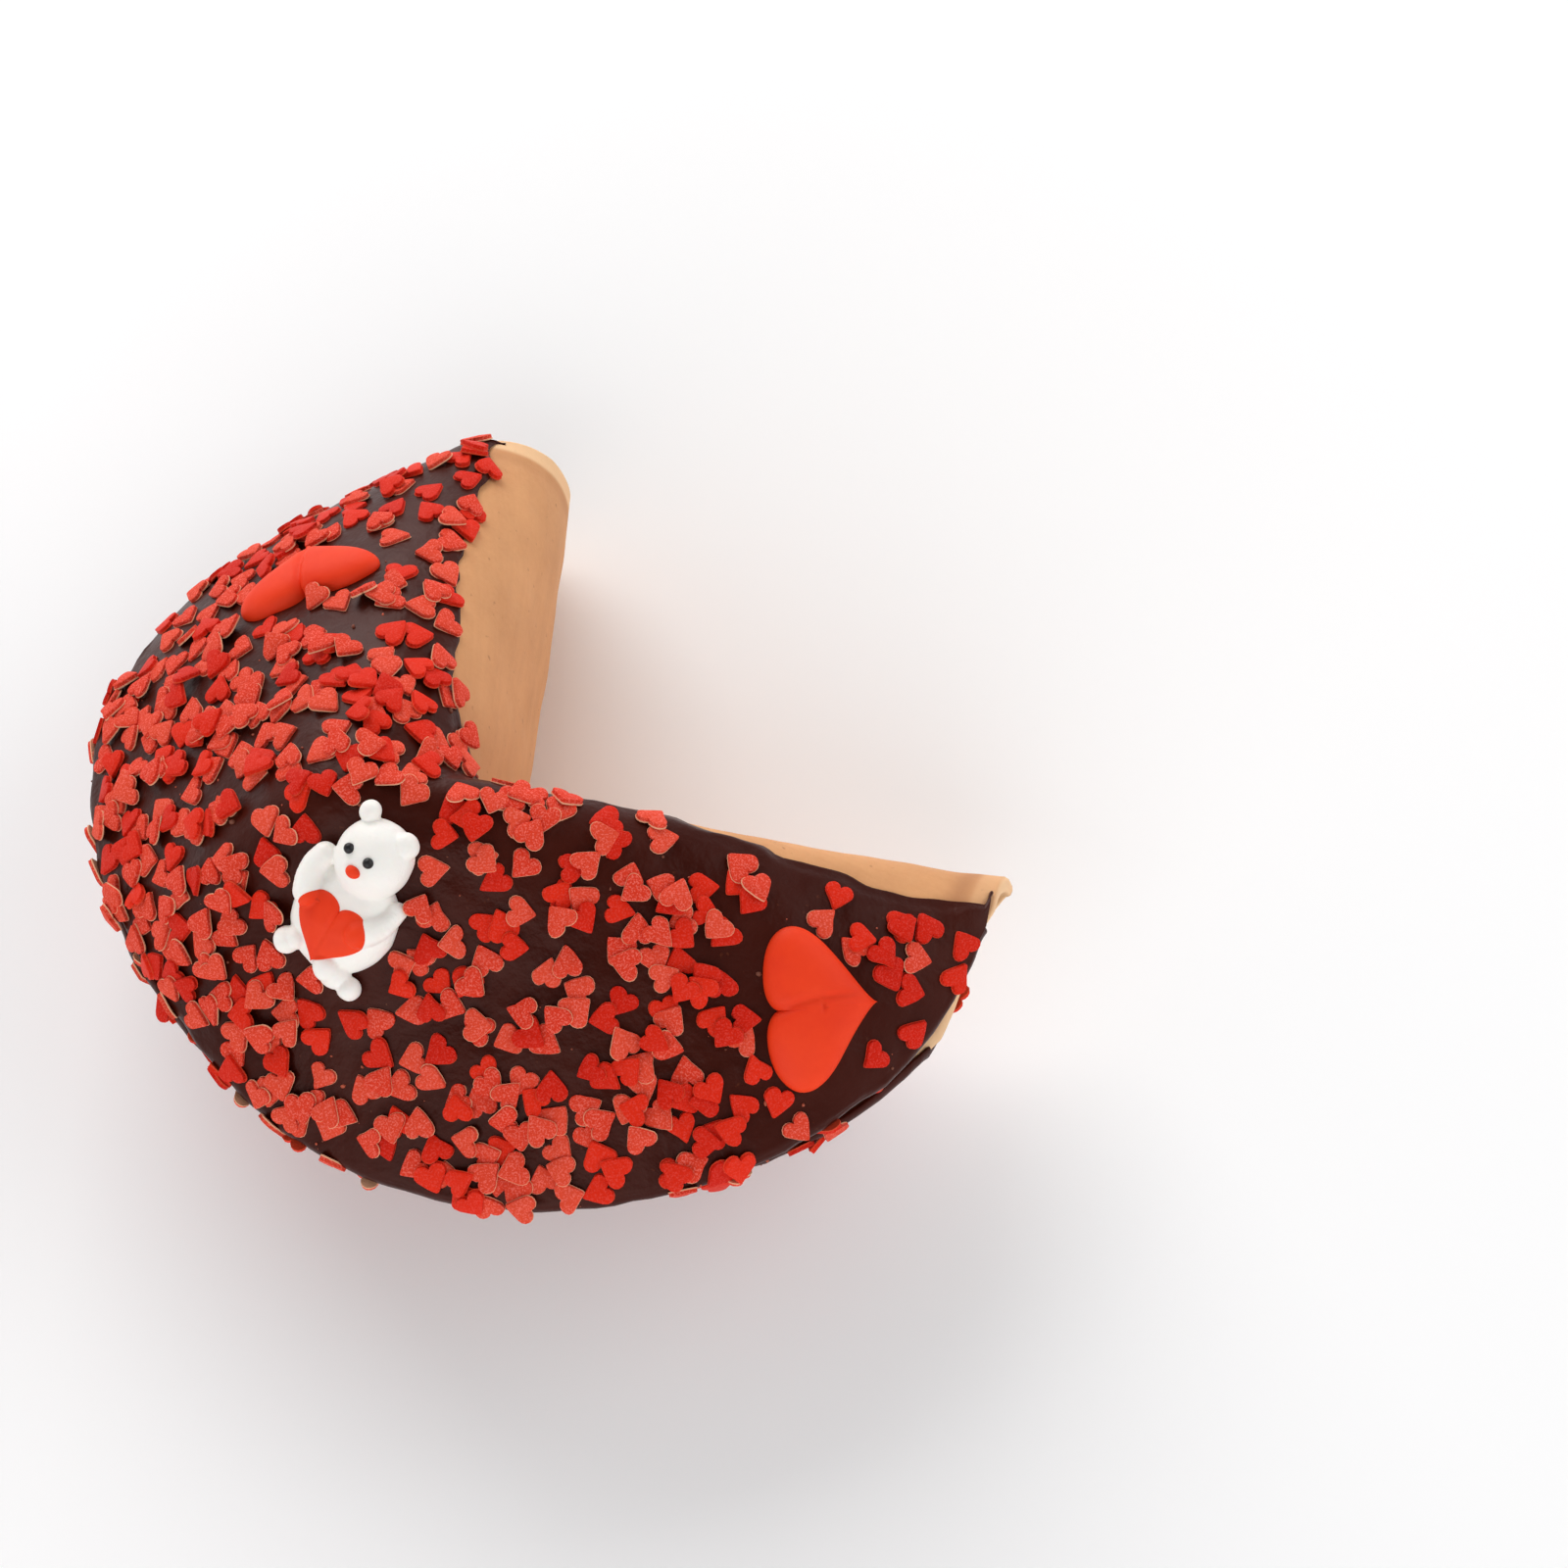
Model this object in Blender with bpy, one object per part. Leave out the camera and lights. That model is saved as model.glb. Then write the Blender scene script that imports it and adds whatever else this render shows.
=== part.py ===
"""A giant fortune cookie: a folded wafer disc dipped in dark chocolate, with icing hearts and an icing bear.

The wafer is worked out as a flat disc that is folded over, and whose fold is then kinked into a V.
x runs along the fold from the tip of the upper arm (-1) over the kink (0) to the tip of the right arm
(+1). s is the distance across the wafer, from the middle of the fold (0) to the open rim, and is
negative on the lower layer. Sizes are in millimetres until a mesh is made. The scene is in metres, with
Z up, and the cookie stands on the plane Z = 0.
"""

import math

import bmesh
import bpy
import numpy as np
from mathutils import Euler, Matrix, Vector

MM = 0.001

# The folded disc.
RIGHT_ARM, UPPER_ARM = 87.9, 84.8  # length of the fold from the kink to each tip
KINK_ANGLE = math.radians(89.9)  # between the two arms of the fold
KINK_SKEW = math.radians(20.6)  # turn of the crease away from the middle of the V
RIGHT_TIP_TURN, UPPER_TIP_TURN = math.radians(91.6), math.radians(83.5)  # of the layers at the tips
TURN_EASE = 0.6
RIGHT_BOW, UPPER_BOW = 4.0, 2.3  # sideways bow of the fold at each tip
LAYER, LAYER_GROWTH, LAYER_TAPER = 115.7, 32.7, 1.08  # fold to rim: at the kink, and its change
FOLD_HALF, RIGHT_TIP_HALF, UPPER_TIP_HALF = 48.9, 12.1, 20.6  # half height of the fold's face
FACE_EASE = 1.41
FACE_LEAN = math.radians(25.6)  # of the face at its edges
SHOULDER = 25.0  # half length of the bend from the face to a layer
CLOSE_SHARE = 0.51  # share of the closing turn that a layer makes evenly along its length
MOST_CLOSE = math.radians(71.0)
CLOSE_HELD = 0.93  # from here to a tip the layers close no further, which leaves a mouth
SEAM_HALF = 6.0  # half height of the closed rim, over the coat
SEAM_DROP, SEAM_DROP_AT = 7.0, 0.5  # the seam runs lower along the right arm
SEAM_DROP_SPREAD = 0.28, 0.5  # towards the kink and towards the tip
LONGER_PER_DROP, SHORTER_PER_DROP = 0.7, 1.6  # the upper layer is longer there, and the lower one shorter
MOST_X = 0.996  # the tips end here in a short rim
KINK_ROUND = 0.075  # how far along the fold, in x, the kink is rounded
SHORTEST_TIP = 1e-4
SHORTEST_LAYER = 8.0

# The wafer and its coat, as depths below the coat's outer face.
COAT = 1.4
GAP = 0.6  # kept between pieces that touch
KINK_GAP, KINK_GAP_SPREAD = 1.3, 0.15  # more room under the coat where the fold kinks
TIP_GAP = 1.0  # and at the tips
WALL = 3.2
WAFER_LIP, COAT_LIP = 0.15, 0.4  # roundness of the open edges
BARE_MIDDLE, BARE_RIGHT_TIP, BARE_UPPER_TIP = 0.76, 1.5, 1.1  # bare share of the half face
BARE_RIGHT_EASE, BARE_UPPER_EASE = 2.2, 1.0
NOTCH_RUN, NOTCH_SPREAD = 0.19, 0.13  # chocolate that runs further in at the kink
BARE_RISE, RISE_START, RISE_SPREAD = 1.3, 0.18, 0.35  # the bare fold swells out to the coat's level
COAT_END = 2.5  # width left of the coat at its pointed ends
COAT_WRAP = 2.4  # how far the coat runs down the edge of the rim

# How it lies on the table.
LIE = Euler([math.radians(angle) for angle in (-11.57, 3.0, -1.17)])
FOOT = 6.5  # height over which the underside has settled
FOOT_BLEND = 3.0

# Meshes.
WAFER_ROWS, WAFER_COLUMNS = 29, 31
COAT_COLUMNS = 11
CROWDING = 0.5  # how much closer the rows are at the kink and the tips
BEND_STEPS = 48
SPAN_X, SPAN_S = 0.004, 0.4  # steps for slopes

# Icing, placed by (x, s).
RIGHT_HEART, UPPER_HEART = (28.5, 19.5, 3.4), (28.5, 15.5, 4.2)  # width, length and height
HEART_SUNK, CUTTER_DEPTH = 3.5, 8.0  # how far a heart and the cutter that trims it reach down
HEART_WAVES = (13.0, -3.5, -1.5, -0.5)  # a heart's outline along its middle, as cosines
HEART_MIDDLE, HEART_SPAN = -2.3, 26.4
HEART_CREASE, HEART_CREASE_WIDTH = 0.25, 0.05
HEART_RINGS, HEART_SPOKES = 4, 22
RIGHT_HEART_AT, RIGHT_HEART_TURN = (0.835, 50.5), math.radians(-60.0)
UPPER_HEART_AT, UPPER_HEART_TURN = (-0.603, 63.4), math.radians(90.0)

# The bear, as places right, ahead (to its head) and out of the coat, and radii.
BEAR_AT, BEAR_TURN = (0.215, 82.5), math.radians(192.0)
BEAR_BODY = (1.0, -0.4, 0.6), (9.2, 10.2, 4.6)
BEAR_HEAD = (-0.1, 11.8, 2.2), (6.8, 7.2, 5.6)
BEAR_BLOBS = (
    ((-5.0, 18.4, 2.4), (1.9, 2.0, 2.0)),  # ears
    ((3.3, 17.2, 3.4), (2.5, 2.4, 2.2)),
    ((-5.2, -9.3, 1.8), (2.4, 2.4, 2.3)),  # feet and legs
    ((-4.0, -7.9, 2.0), (2.1, 2.1, 2.1)),
    ((3.1, -8.7, 2.8), (2.5, 2.5, 2.5)),
    ((4.8, -9.4, 1.6), (3.0, 2.6, 2.4)),
    ((8.3, -10.2, 1.6), (2.2, 2.1, 2.1)),
)
BEAR_ARMS = (
    ((-7.6, 7.6, 2.4), (-6.5, 0.6, 3.6), 2.2, 2.4),
    ((8.1, 6.4, 2.0), (5.1, 0.1, 4.6), 1.7, 2.4),
)
BELLY_HEART = (0.2, -3.4, 3.6, 13.6)  # right, ahead, out and size
BEAR_DOTS = (
    ("bear_eye_left", "black_icing", (-4.0, 12.4, 6.5), 0.95),
    ("bear_eye_right", "black_icing", (0.2, 12.5, 7.6), 0.95),
    ("bear_nose", "heart_icing", (-1.2, 9.6, 7.3), 1.25),
)

COLOURS = {
    "wafer": ((0.62, 0.36, 0.19), 0.75),
    "chocolate": ((0.030, 0.014, 0.011), 0.35),
    "heart_icing": ((0.80, 0.085, 0.022), 0.55),
    "white_icing": ((0.86, 0.84, 0.80), 0.5),
    "black_icing": ((0.012, 0.012, 0.014), 0.3),
}


# --- The folded disc ---------------------------------------------------------------------------------


def ease(t):
    t = np.clip(t, 0.0, 1.0)
    return t * t * (3.0 - 2.0 * t)


def by_arm(x, right, upper):
    return np.where(x >= 0.0, right, upper)


def half_face(x):
    tip = by_arm(x, RIGHT_TIP_HALF, UPPER_TIP_HALF)
    return FOLD_HALF + (tip - FOLD_HALF) * np.abs(x) ** FACE_EASE


def seam_drop(x):
    away = x - SEAM_DROP_AT
    spread = np.where(away < 0.0, *SEAM_DROP_SPREAD)
    return SEAM_DROP * np.exp(-((away / spread) ** 2))


def layer_length(x, side):
    """From the fold to the rim. side is 1 for the upper layer and -1 for the lower one."""
    room = np.maximum(1.0 - x * x, SHORTEST_TIP)
    even = (LAYER + LAYER_GROWTH * np.abs(x)) * room ** (0.5 * LAYER_TAPER)
    return even + np.where(np.asarray(side) > 0, LONGER_PER_DROP, -SHORTER_PER_DROP) * seam_drop(x)


def section(x, s, close, length):
    """Reach from the fold and height over its middle, at distance s across a layer."""
    steps = (np.arange(BEND_STEPS) + 0.5) / BEND_STEPS
    x, s, close, length = (np.asarray(value, float)[..., None] for value in (x, s, close, length))
    along = s * steps
    half = half_face(x)
    bent = ease((along - half + SHOULDER) / (2.0 * SHOULDER))
    late = np.clip((along - half) / np.maximum(length - half, SHORTEST_LAYER), 0.0, 1.0)
    turn = FACE_LEAN * np.clip(along / half, 0.0, 1.0)
    closing = close * (1.0 - CLOSE_SHARE + 2.0 * CLOSE_SHARE * late)
    turn = turn + bent * (math.pi / 2.0 - FACE_LEAN + closing)
    return (s * np.sin(turn)).mean(-1), (s * np.cos(turn)).mean(-1)


def closing_turn(x, side):
    """Turn that brings a layer's rim to the seam, found by halving."""
    least, most = np.zeros_like(x), np.full_like(x, MOST_CLOSE)
    length = layer_length(x, side)
    seam = SEAM_HALF - side * seam_drop(x)
    for _ in range(20):
        middle = 0.5 * (least + most)
        _, height = section(x, length, middle, length)
        least = np.where(height > seam, middle, least)
        most = np.where(height > seam, most, middle)
    return most


TABLE_X = np.linspace(-1.0, 1.0, 401)
TABLE_CLOSE = {side: closing_turn(TABLE_X, side) for side in (-1, 1)}


def sharp_fold(x, s):
    """Points of the coat's outer face with a sharp kink, whose V opens to +Y from an arm along +X."""
    held = np.clip(x, -CLOSE_HELD, CLOSE_HELD)
    side = np.where(s < 0.0, -1, 1)
    closes = {key: np.interp(held, TABLE_X, TABLE_CLOSE[key]) for key in TABLE_CLOSE}
    close = np.where(s < 0.0, closes[-1], closes[1])
    reach, height = section(x, np.abs(s), close, layer_length(x, side))
    near = np.abs(x)
    middle_turn = math.pi - 0.5 * KINK_ANGLE + by_arm(x, KINK_SKEW, -KINK_SKEW)
    tip_turn = by_arm(x, RIGHT_TIP_TURN, UPPER_TIP_TURN)
    turn = tip_turn + (middle_turn - tip_turn) * (1.0 - near) ** TURN_EASE
    along = near * by_arm(x, RIGHT_ARM, UPPER_ARM) + reach * np.cos(turn)
    aside = by_arm(x, RIGHT_BOW, UPPER_BOW) * x * x - reach * np.sin(turn)
    cos_kink, sin_kink = math.cos(KINK_ANGLE), math.sin(KINK_ANGLE)
    return np.stack(
        [
            by_arm(x, along, along * cos_kink + aside * sin_kink),
            by_arm(x, aside, along * sin_kink - aside * cos_kink),
            np.where(s < 0.0, -height, height),
        ],
        axis=-1,
    )


def folded(x, s):
    """The same with the kink rounded: each point is a mean over a short stretch of the fold."""
    spread = KINK_ROUND * (1.0 - x * x) ** 2
    shares = ((-0.9, 0.15), (-0.45, 0.225), (0.0, 0.25), (0.45, 0.225), (0.9, 0.15))
    return sum(weight * sharp_fold(x + place * spread, s) for place, weight in shares)


def outward(x, s):
    """Unit normals of the coat's outer face."""
    x_high, x_low = np.clip(x + SPAN_X, -1.0, 1.0), np.clip(x - SPAN_X, -1.0, 1.0)
    across = folded(x, s + SPAN_S) - folded(x, s - SPAN_S)
    normal = np.cross(across, folded(x_high, s) - folded(x_low, s))
    return normal / np.linalg.norm(normal, axis=-1, keepdims=True)


def lay(points):
    return points @ np.array(LIE.to_matrix()).T


def settle(points, depth):
    """Presses laid points flat below the foot's height. depth is theirs below the outer face."""
    height = points[..., 2] - FOOT_LEVEL - depth
    blend = (height + FOOT_BLEND) ** 2 / (4.0 * FOOT_BLEND)
    pressed = np.where(height > FOOT_BLEND, height, np.where(height < -FOOT_BLEND, 0.0, blend))
    return np.concatenate([points[..., :2], (pressed + depth)[..., None]], axis=-1)


def face_at(x, s, depth):
    """Points at a depth below the coat's outer face, as the cookie lies."""
    depth = np.broadcast_to(depth, np.shape(x))
    return settle(lay(folded(x, s) - outward(x, s) * depth[..., None]), depth)


def wafer_rows():
    """Steps along the fold that crowd towards the tips, as even turns round a disc do, and at the kink."""
    even = np.linspace(-1.0, 1.0, WAFER_ROWS)
    turn = even - CROWDING * np.sin(2.0 * math.pi * even) / (2.0 * math.pi)
    return np.sin(turn * math.asin(MOST_X))


def wafer_grid():
    x = wafer_rows()[:, None]
    share = np.linspace(-1.0, 1.0, WAFER_COLUMNS)[None, :]
    s = layer_length(x, np.where(share < 0.0, -1, 1)) * share
    return np.broadcast_to(x, s.shape), s


FOOT_LEVEL = lay(folded(*wafer_grid()))[..., 2].min() + FOOT


# --- Meshes ------------------------------------------------------------------------------------------


def material(name):
    made = bpy.data.materials.get(name)
    if made is None:
        made = bpy.data.materials.new(name)
        made.use_nodes = True
        colour, roughness = COLOURS[name]
        shader = made.node_tree.nodes["Principled BSDF"]
        shader.inputs["Base Color"].default_value = (*colour, 1.0)
        shader.inputs["Roughness"].default_value = roughness
        made.diffuse_color = (*colour, 1.0)
    return made


def add_mesh(name, mesh, slot, collection):
    obj = bpy.data.objects.new(name, mesh)
    collection.objects.link(obj)
    if slot:
        mesh.materials.append(material(slot))
    return obj


def closed_mesh(name, points, faces):
    """Mesh from points in millimetres, with its faces turned outwards."""
    mesh = bpy.data.meshes.new(name)
    mesh.from_pydata([tuple(point * MM) for point in points], [], faces)
    shape = bmesh.new()
    shape.from_mesh(mesh)
    bmesh.ops.recalc_face_normals(shape, faces=shape.faces)
    shape.to_mesh(mesh)
    shape.free()
    return mesh


def round_of(rows, columns):
    """Places of a grid's outer points, in order."""
    top = [column for column in range(columns)]
    right = [row * columns + columns - 1 for row in range(1, rows)]
    bottom = [(rows - 1) * columns + column for column in range(columns - 2, -1, -1)]
    left = [row * columns for row in range(rows - 2, 0, -1)]
    return top + right + bottom + left


def slab(name, outer, inner, lip):
    """Closed shell between two sheets of one grid, its edge rounded out by lip."""
    rows, columns, _ = outer.shape
    count = rows * columns
    ring = round_of(rows, columns)
    flat_outer, flat_inner = outer.reshape(-1, 3), inner.reshape(-1, 3)
    edge_outer, edge_inner = flat_outer[ring], flat_inner[ring]
    run = np.roll(edge_outer, -1, axis=0) - np.roll(edge_outer, 1, axis=0)
    out = np.cross(run, edge_outer - edge_inner)
    out /= np.linalg.norm(out, axis=1, keepdims=True)
    middle = flat_outer.mean(axis=0)
    if np.einsum("ij,ij->i", out, edge_outer - middle).sum() < 0.0:
        out = -out
    edge_middle = 0.5 * (edge_outer + edge_inner) + lip * out
    points = np.concatenate([flat_outer, flat_inner, edge_middle])
    faces = []
    for row in range(rows - 1):
        for column in range(columns - 1):
            corner = row * columns + column
            quad = (corner, corner + 1, corner + columns + 1, corner + columns)
            faces.append(quad)
            faces.append(tuple(place + count for place in reversed(quad)))
    for place, here in enumerate(ring):
        following = (place + 1) % len(ring)
        there = ring[following]
        faces.append((here, there, 2 * count + following, 2 * count + place))
        faces.append((2 * count + place, 2 * count + following, there + count, here + count))
    return closed_mesh(name, points, faces)


# --- Wafer and chocolate -----------------------------------------------------------------------------


def bare_share(x):
    near = np.abs(x)
    run = NOTCH_RUN * np.exp(-((near / NOTCH_SPREAD) ** 2))
    tip = by_arm(x, BARE_RIGHT_TIP, BARE_UPPER_TIP)
    return BARE_MIDDLE + (tip - BARE_MIDDLE) * near ** by_arm(x, BARE_RIGHT_EASE, BARE_UPPER_EASE) - run


def wafer_depth(x, s):
    share = np.abs(s) / half_face(x)
    room = GAP + KINK_GAP * np.exp(-((x / KINK_GAP_SPREAD) ** 2)) + TIP_GAP * np.abs(x) ** 8
    return COAT + room - BARE_RISE * ease((bare_share(x) - RISE_START - share) / RISE_SPREAD)


def make_wafer(collection):
    x, s = wafer_grid()
    depth = wafer_depth(x, s)
    mesh = slab("wafer", face_at(x, s, depth), face_at(x, s, depth + WALL), WAFER_LIP)
    return add_mesh("wafer", mesh, "wafer", collection)


def coat_reach(arm, side):
    """x at which a coat has narrowed to its end."""
    least, most = 0.5, 1.0
    for _ in range(30):
        middle = 0.5 * (least + most)
        x = np.array([arm * middle])
        room = layer_length(x, side) - bare_share(x) * half_face(x)
        least, most = (middle, most) if room[0] > COAT_END else (least, middle)
    return least


def coat_sheet(side, depth, around):
    """One face of a coat: from the bare fold over the layer, then round the rim and down its edge."""
    x = np.unique(np.clip(wafer_rows(), -coat_reach(-1, side), coat_reach(1, side)))[:, None]
    start = bare_share(x) * half_face(x)
    share = np.linspace(0.0, 1.0, COAT_COLUMNS)[None, :]
    s = side * (start + (layer_length(x, side) - start) * share)
    x = np.broadcast_to(x, s.shape)
    over = face_at(x, s, depth)
    rim_x, rim_s = x[:, -1:], s[:, -1:]
    rim = face_at(rim_x, rim_s, COAT + GAP)
    normal = lay(outward(rim_x, rim_s))
    run = np.gradient(rim[:, 0], axis=0)[:, None]
    beyond = side * np.cross(run, normal)
    beyond /= np.linalg.norm(beyond, axis=-1, keepdims=True)
    corner = rim + around * math.sqrt(0.5) * (normal + beyond)
    edge = rim + around * beyond
    low = edge - COAT_WRAP * normal
    return np.concatenate([over[:, :-1], rim + around * normal, corner, edge, low], axis=1)


def make_coat(name, side, collection):
    mesh = slab(name, coat_sheet(side, 0.0, COAT + GAP), coat_sheet(side, COAT, GAP), COAT_LIP)
    return add_mesh(name, mesh, "chocolate", collection)


# --- Icing -------------------------------------------------------------------------------------------


def spot(at, turn):
    """Matrix to the world, in millimetres, from a place on the coat: right, ahead and out of it."""
    x, s = (np.array([value]) for value in at)
    place = face_at(x, s, 0.0)[0]
    out = lay(outward(x, s))[0]
    to_rim = (face_at(x, s + SPAN_S, 0.0) - face_at(x, s - SPAN_S, 0.0))[0]
    to_rim -= out * (to_rim @ out)
    to_rim /= np.linalg.norm(to_rim)
    ahead = math.cos(turn) * to_rim + math.sin(turn) * np.cross(out, to_rim)
    frame = np.stack([np.cross(ahead, out), ahead, out, place], axis=1)
    return Matrix([*map(tuple, frame), (0.0, 0.0, 0.0, 1.0)])


def mesh_of(name, shape, frame):
    """Mesh from a bmesh in millimetres in a spot's frame."""
    bmesh.ops.transform(shape, matrix=Matrix.Scale(MM, 4) @ frame, verts=shape.verts)
    bmesh.ops.recalc_face_normals(shape, faces=shape.faces)
    mesh = bpy.data.meshes.new(name)
    shape.to_mesh(mesh)
    shape.free()
    return mesh


def add_boolean(obj, operation, other):
    """Cuts with, or joins, an object or all of a collection."""
    change = obj.modifiers.new(operation.lower(), "BOOLEAN")
    change.operation = operation
    change.solver = "EXACT"
    if isinstance(other, bpy.types.Collection):
        change.operand_type = "COLLECTION"
        change.collection = other
    else:
        change.object = other


def heart_edge(angle):
    """Outline of a heart that is one wide and one long, with its point at -ahead."""
    along = sum(wave * math.cos((turns + 1) * angle) for turns, wave in enumerate(HEART_WAVES))
    return 0.5 * math.sin(angle) ** 3, (along - HEART_MIDDLE) / HEART_SPAN


def heart_dome(width, length, height, sunk):
    """Domed heart with a crease from its cleft to its point, reaching down by sunk."""
    shape = bmesh.new()
    top = shape.verts.new((0.0, 0.0, height * (1.0 - HEART_CREASE)))
    rings = []
    for ring in range(1, HEART_RINGS + 1):
        share = math.sin(0.5 * math.pi * ring / HEART_RINGS)
        verts = []
        for spoke in range(HEART_SPOKES):
            across, along = heart_edge(2.0 * math.pi * spoke / HEART_SPOKES)
            crease = HEART_CREASE * math.exp(-((across * share / HEART_CREASE_WIDTH) ** 2))
            rise = height * math.sqrt(max(0.0, 1.0 - share**2.6)) * (1.0 - crease)
            verts.append(shape.verts.new((width * across * share, length * along * share, rise)))
        rings.append(verts)
    low = [shape.verts.new((vert.co.x, vert.co.y, -sunk)) for vert in rings[-1]]
    rings.append(low)
    for place in range(HEART_SPOKES):
        following = (place + 1) % HEART_SPOKES
        shape.faces.new((top, rings[0][place], rings[0][following]))
        for inner, outer in zip(rings, rings[1:]):
            shape.faces.new((inner[place], outer[place], outer[following], inner[following]))
    shape.faces.new(reversed(low))
    return shape


def make_heart(name, at, turn, size, cutter, collection):
    shape = heart_dome(*size, HEART_SUNK)
    heart = add_mesh(name, mesh_of(name, shape, spot(at, turn)), "heart_icing", collection)
    add_boolean(heart, "DIFFERENCE", cutter)


def ball(place, radii, grow, detail=2):
    shape = bmesh.new()
    bmesh.ops.create_icosphere(shape, subdivisions=detail, radius=1.0)
    bmesh.ops.scale(shape, vec=[radius + grow for radius in radii], verts=shape.verts)
    bmesh.ops.translate(shape, vec=place, verts=shape.verts)
    return shape


def limb(start, end, start_radius, end_radius, grow):
    """Hull round two balls."""
    balls = [ball(start, (start_radius,) * 3, grow), ball(end, (end_radius,) * 3, grow)]
    shape = bmesh.new()
    for one in balls:
        for vert in one.verts:
            shape.verts.new(vert.co)
        one.free()
    hull = bmesh.ops.convex_hull(shape, input=shape.verts)
    spare = set(hull["geom_interior"] + hull["geom_unused"]) & set(shape.verts)
    bmesh.ops.delete(shape, geom=list(spare), context="VERTS")
    return shape


def bear_shapes(grow):
    yield ball(*BEAR_BODY, grow, detail=3)
    yield ball(*BEAR_HEAD, grow, detail=3)
    for blob in BEAR_BLOBS:
        yield ball(*blob, grow)
    for arm in BEAR_ARMS:
        yield limb(*arm, grow)


def joined_bear(name, grow, slot, helpers, collection):
    """The bear's white icing, or the room that it takes, as one solid."""
    frame = spot(BEAR_AT, BEAR_TURN)
    first, *others = bear_shapes(grow)
    lumps = bpy.data.collections.new(name + "_lumps")
    helpers.children.link(lumps)
    for number, shape in enumerate(others):
        lump = add_mesh(f"{name}_lump_{number}", mesh_of(name, shape, frame), None, lumps)
        hide(lump)
    joined = add_mesh(name, mesh_of(name, first, frame), slot, collection)
    add_boolean(joined, "UNION", lumps)
    return joined


def make_bear(cutter, helpers, collection):
    frame = spot(BEAR_AT, BEAR_TURN)
    bear = joined_bear("bear", 0.0, "white_icing", helpers, collection)
    add_boolean(bear, "DIFFERENCE", cutter)
    room = joined_bear("bear_room", GAP, None, helpers, helpers)
    hide(room)
    right, ahead, top, size = BELLY_HEART
    shape = heart_dome(size, size, RIGHT_HEART[2], BEAR_BODY[1][2])
    place = Matrix.Translation((right, ahead, top))
    belly = add_mesh("bear_heart", mesh_of("bear_heart", shape, frame @ place), "heart_icing", collection)
    add_boolean(belly, "DIFFERENCE", room)
    for name, slot, place, radius in BEAR_DOTS:
        shape = ball(place, (radius,) * 3, 0.0)
        dot = add_mesh(name, mesh_of(name, shape, frame), slot, collection)
        add_boolean(dot, "DIFFERENCE", room)


def hide(obj):
    obj.hide_render = True
    obj.display_type = "WIRE"


def top_cutter(helpers):
    """Everything under the coat's upper face, which trims the icing to lie on it."""
    x = np.linspace(-CLOSE_HELD, CLOSE_HELD, WAFER_ROWS)[:, None]
    s = layer_length(x, 1) * np.linspace(0.25, 0.95, COAT_COLUMNS)[None, :]
    x = np.broadcast_to(x, s.shape)
    mesh = slab("top_cutter", face_at(x, s, -GAP), face_at(x, s, CUTTER_DEPTH), 0.0)
    cutter = add_mesh("top_cutter", mesh, None, helpers)
    hide(cutter)
    return cutter


def centre_on_floor(collection):
    """Moves the cookie so that the middle of its box's bottom is at the origin."""
    bpy.context.view_layer.update()
    graph = bpy.context.evaluated_depsgraph_get()
    corners = []
    for obj in collection.objects:
        corners.extend(obj.evaluated_get(graph).bound_box)
    lowest = Vector(map(min, zip(*corners)))
    highest = Vector(map(max, zip(*corners)))
    middle = Vector(((lowest.x + highest.x) / 2.0, (lowest.y + highest.y) / 2.0, lowest.z))
    for obj in bpy.data.objects:
        obj.location = -middle


def main():
    for obj in list(bpy.data.objects):
        bpy.data.objects.remove(obj)
    cookie = bpy.data.collections.new("fortune_cookie")
    helpers = bpy.data.collections.new("cutters")
    for collection in (cookie, helpers):
        bpy.context.scene.collection.children.link(collection)
    make_wafer(cookie)
    make_coat("coat_upper", 1, cookie)
    make_coat("coat_lower", -1, cookie)
    cutter = top_cutter(helpers)
    make_heart("icing_heart_right", RIGHT_HEART_AT, RIGHT_HEART_TURN, RIGHT_HEART, cutter, cookie)
    make_heart("icing_heart_upper", UPPER_HEART_AT, UPPER_HEART_TURN, UPPER_HEART, cutter, cookie)
    make_bear(cutter, helpers, cookie)
    centre_on_floor(cookie)


main()
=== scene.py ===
"""The looks of a giant fortune cookie: a folded wafer disc dipped in dark chocolate and strewn with hearts.

The wafer and its coat follow the surface that the solids were made from. x runs along the fold from the
tip of the upper arm (-1) over the kink (0) to the tip of the right arm (+1). s is the distance across the
wafer, from the middle of the fold (0) to the open rim, and is negative on the lower layer. Shapes are
worked out in millimetres and made in metres.
"""

import math

import bmesh
import bpy
import numpy as np
from mathutils import Euler, Matrix, Vector
from mathutils.bvhtree import BVHTree
from mathutils.kdtree import KDTree


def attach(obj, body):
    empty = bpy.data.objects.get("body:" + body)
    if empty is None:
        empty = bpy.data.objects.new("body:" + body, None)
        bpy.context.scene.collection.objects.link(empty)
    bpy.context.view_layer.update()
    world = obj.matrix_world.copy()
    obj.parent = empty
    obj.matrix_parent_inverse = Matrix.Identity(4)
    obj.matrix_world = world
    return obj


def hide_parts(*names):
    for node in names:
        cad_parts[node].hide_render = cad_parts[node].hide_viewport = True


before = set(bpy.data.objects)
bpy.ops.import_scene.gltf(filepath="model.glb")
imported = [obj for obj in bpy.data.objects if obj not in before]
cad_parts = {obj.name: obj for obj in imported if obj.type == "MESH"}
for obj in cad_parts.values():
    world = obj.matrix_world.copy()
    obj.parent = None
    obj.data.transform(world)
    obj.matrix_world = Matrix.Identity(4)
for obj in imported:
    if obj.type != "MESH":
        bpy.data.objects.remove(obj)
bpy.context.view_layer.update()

MM = 0.001

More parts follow.
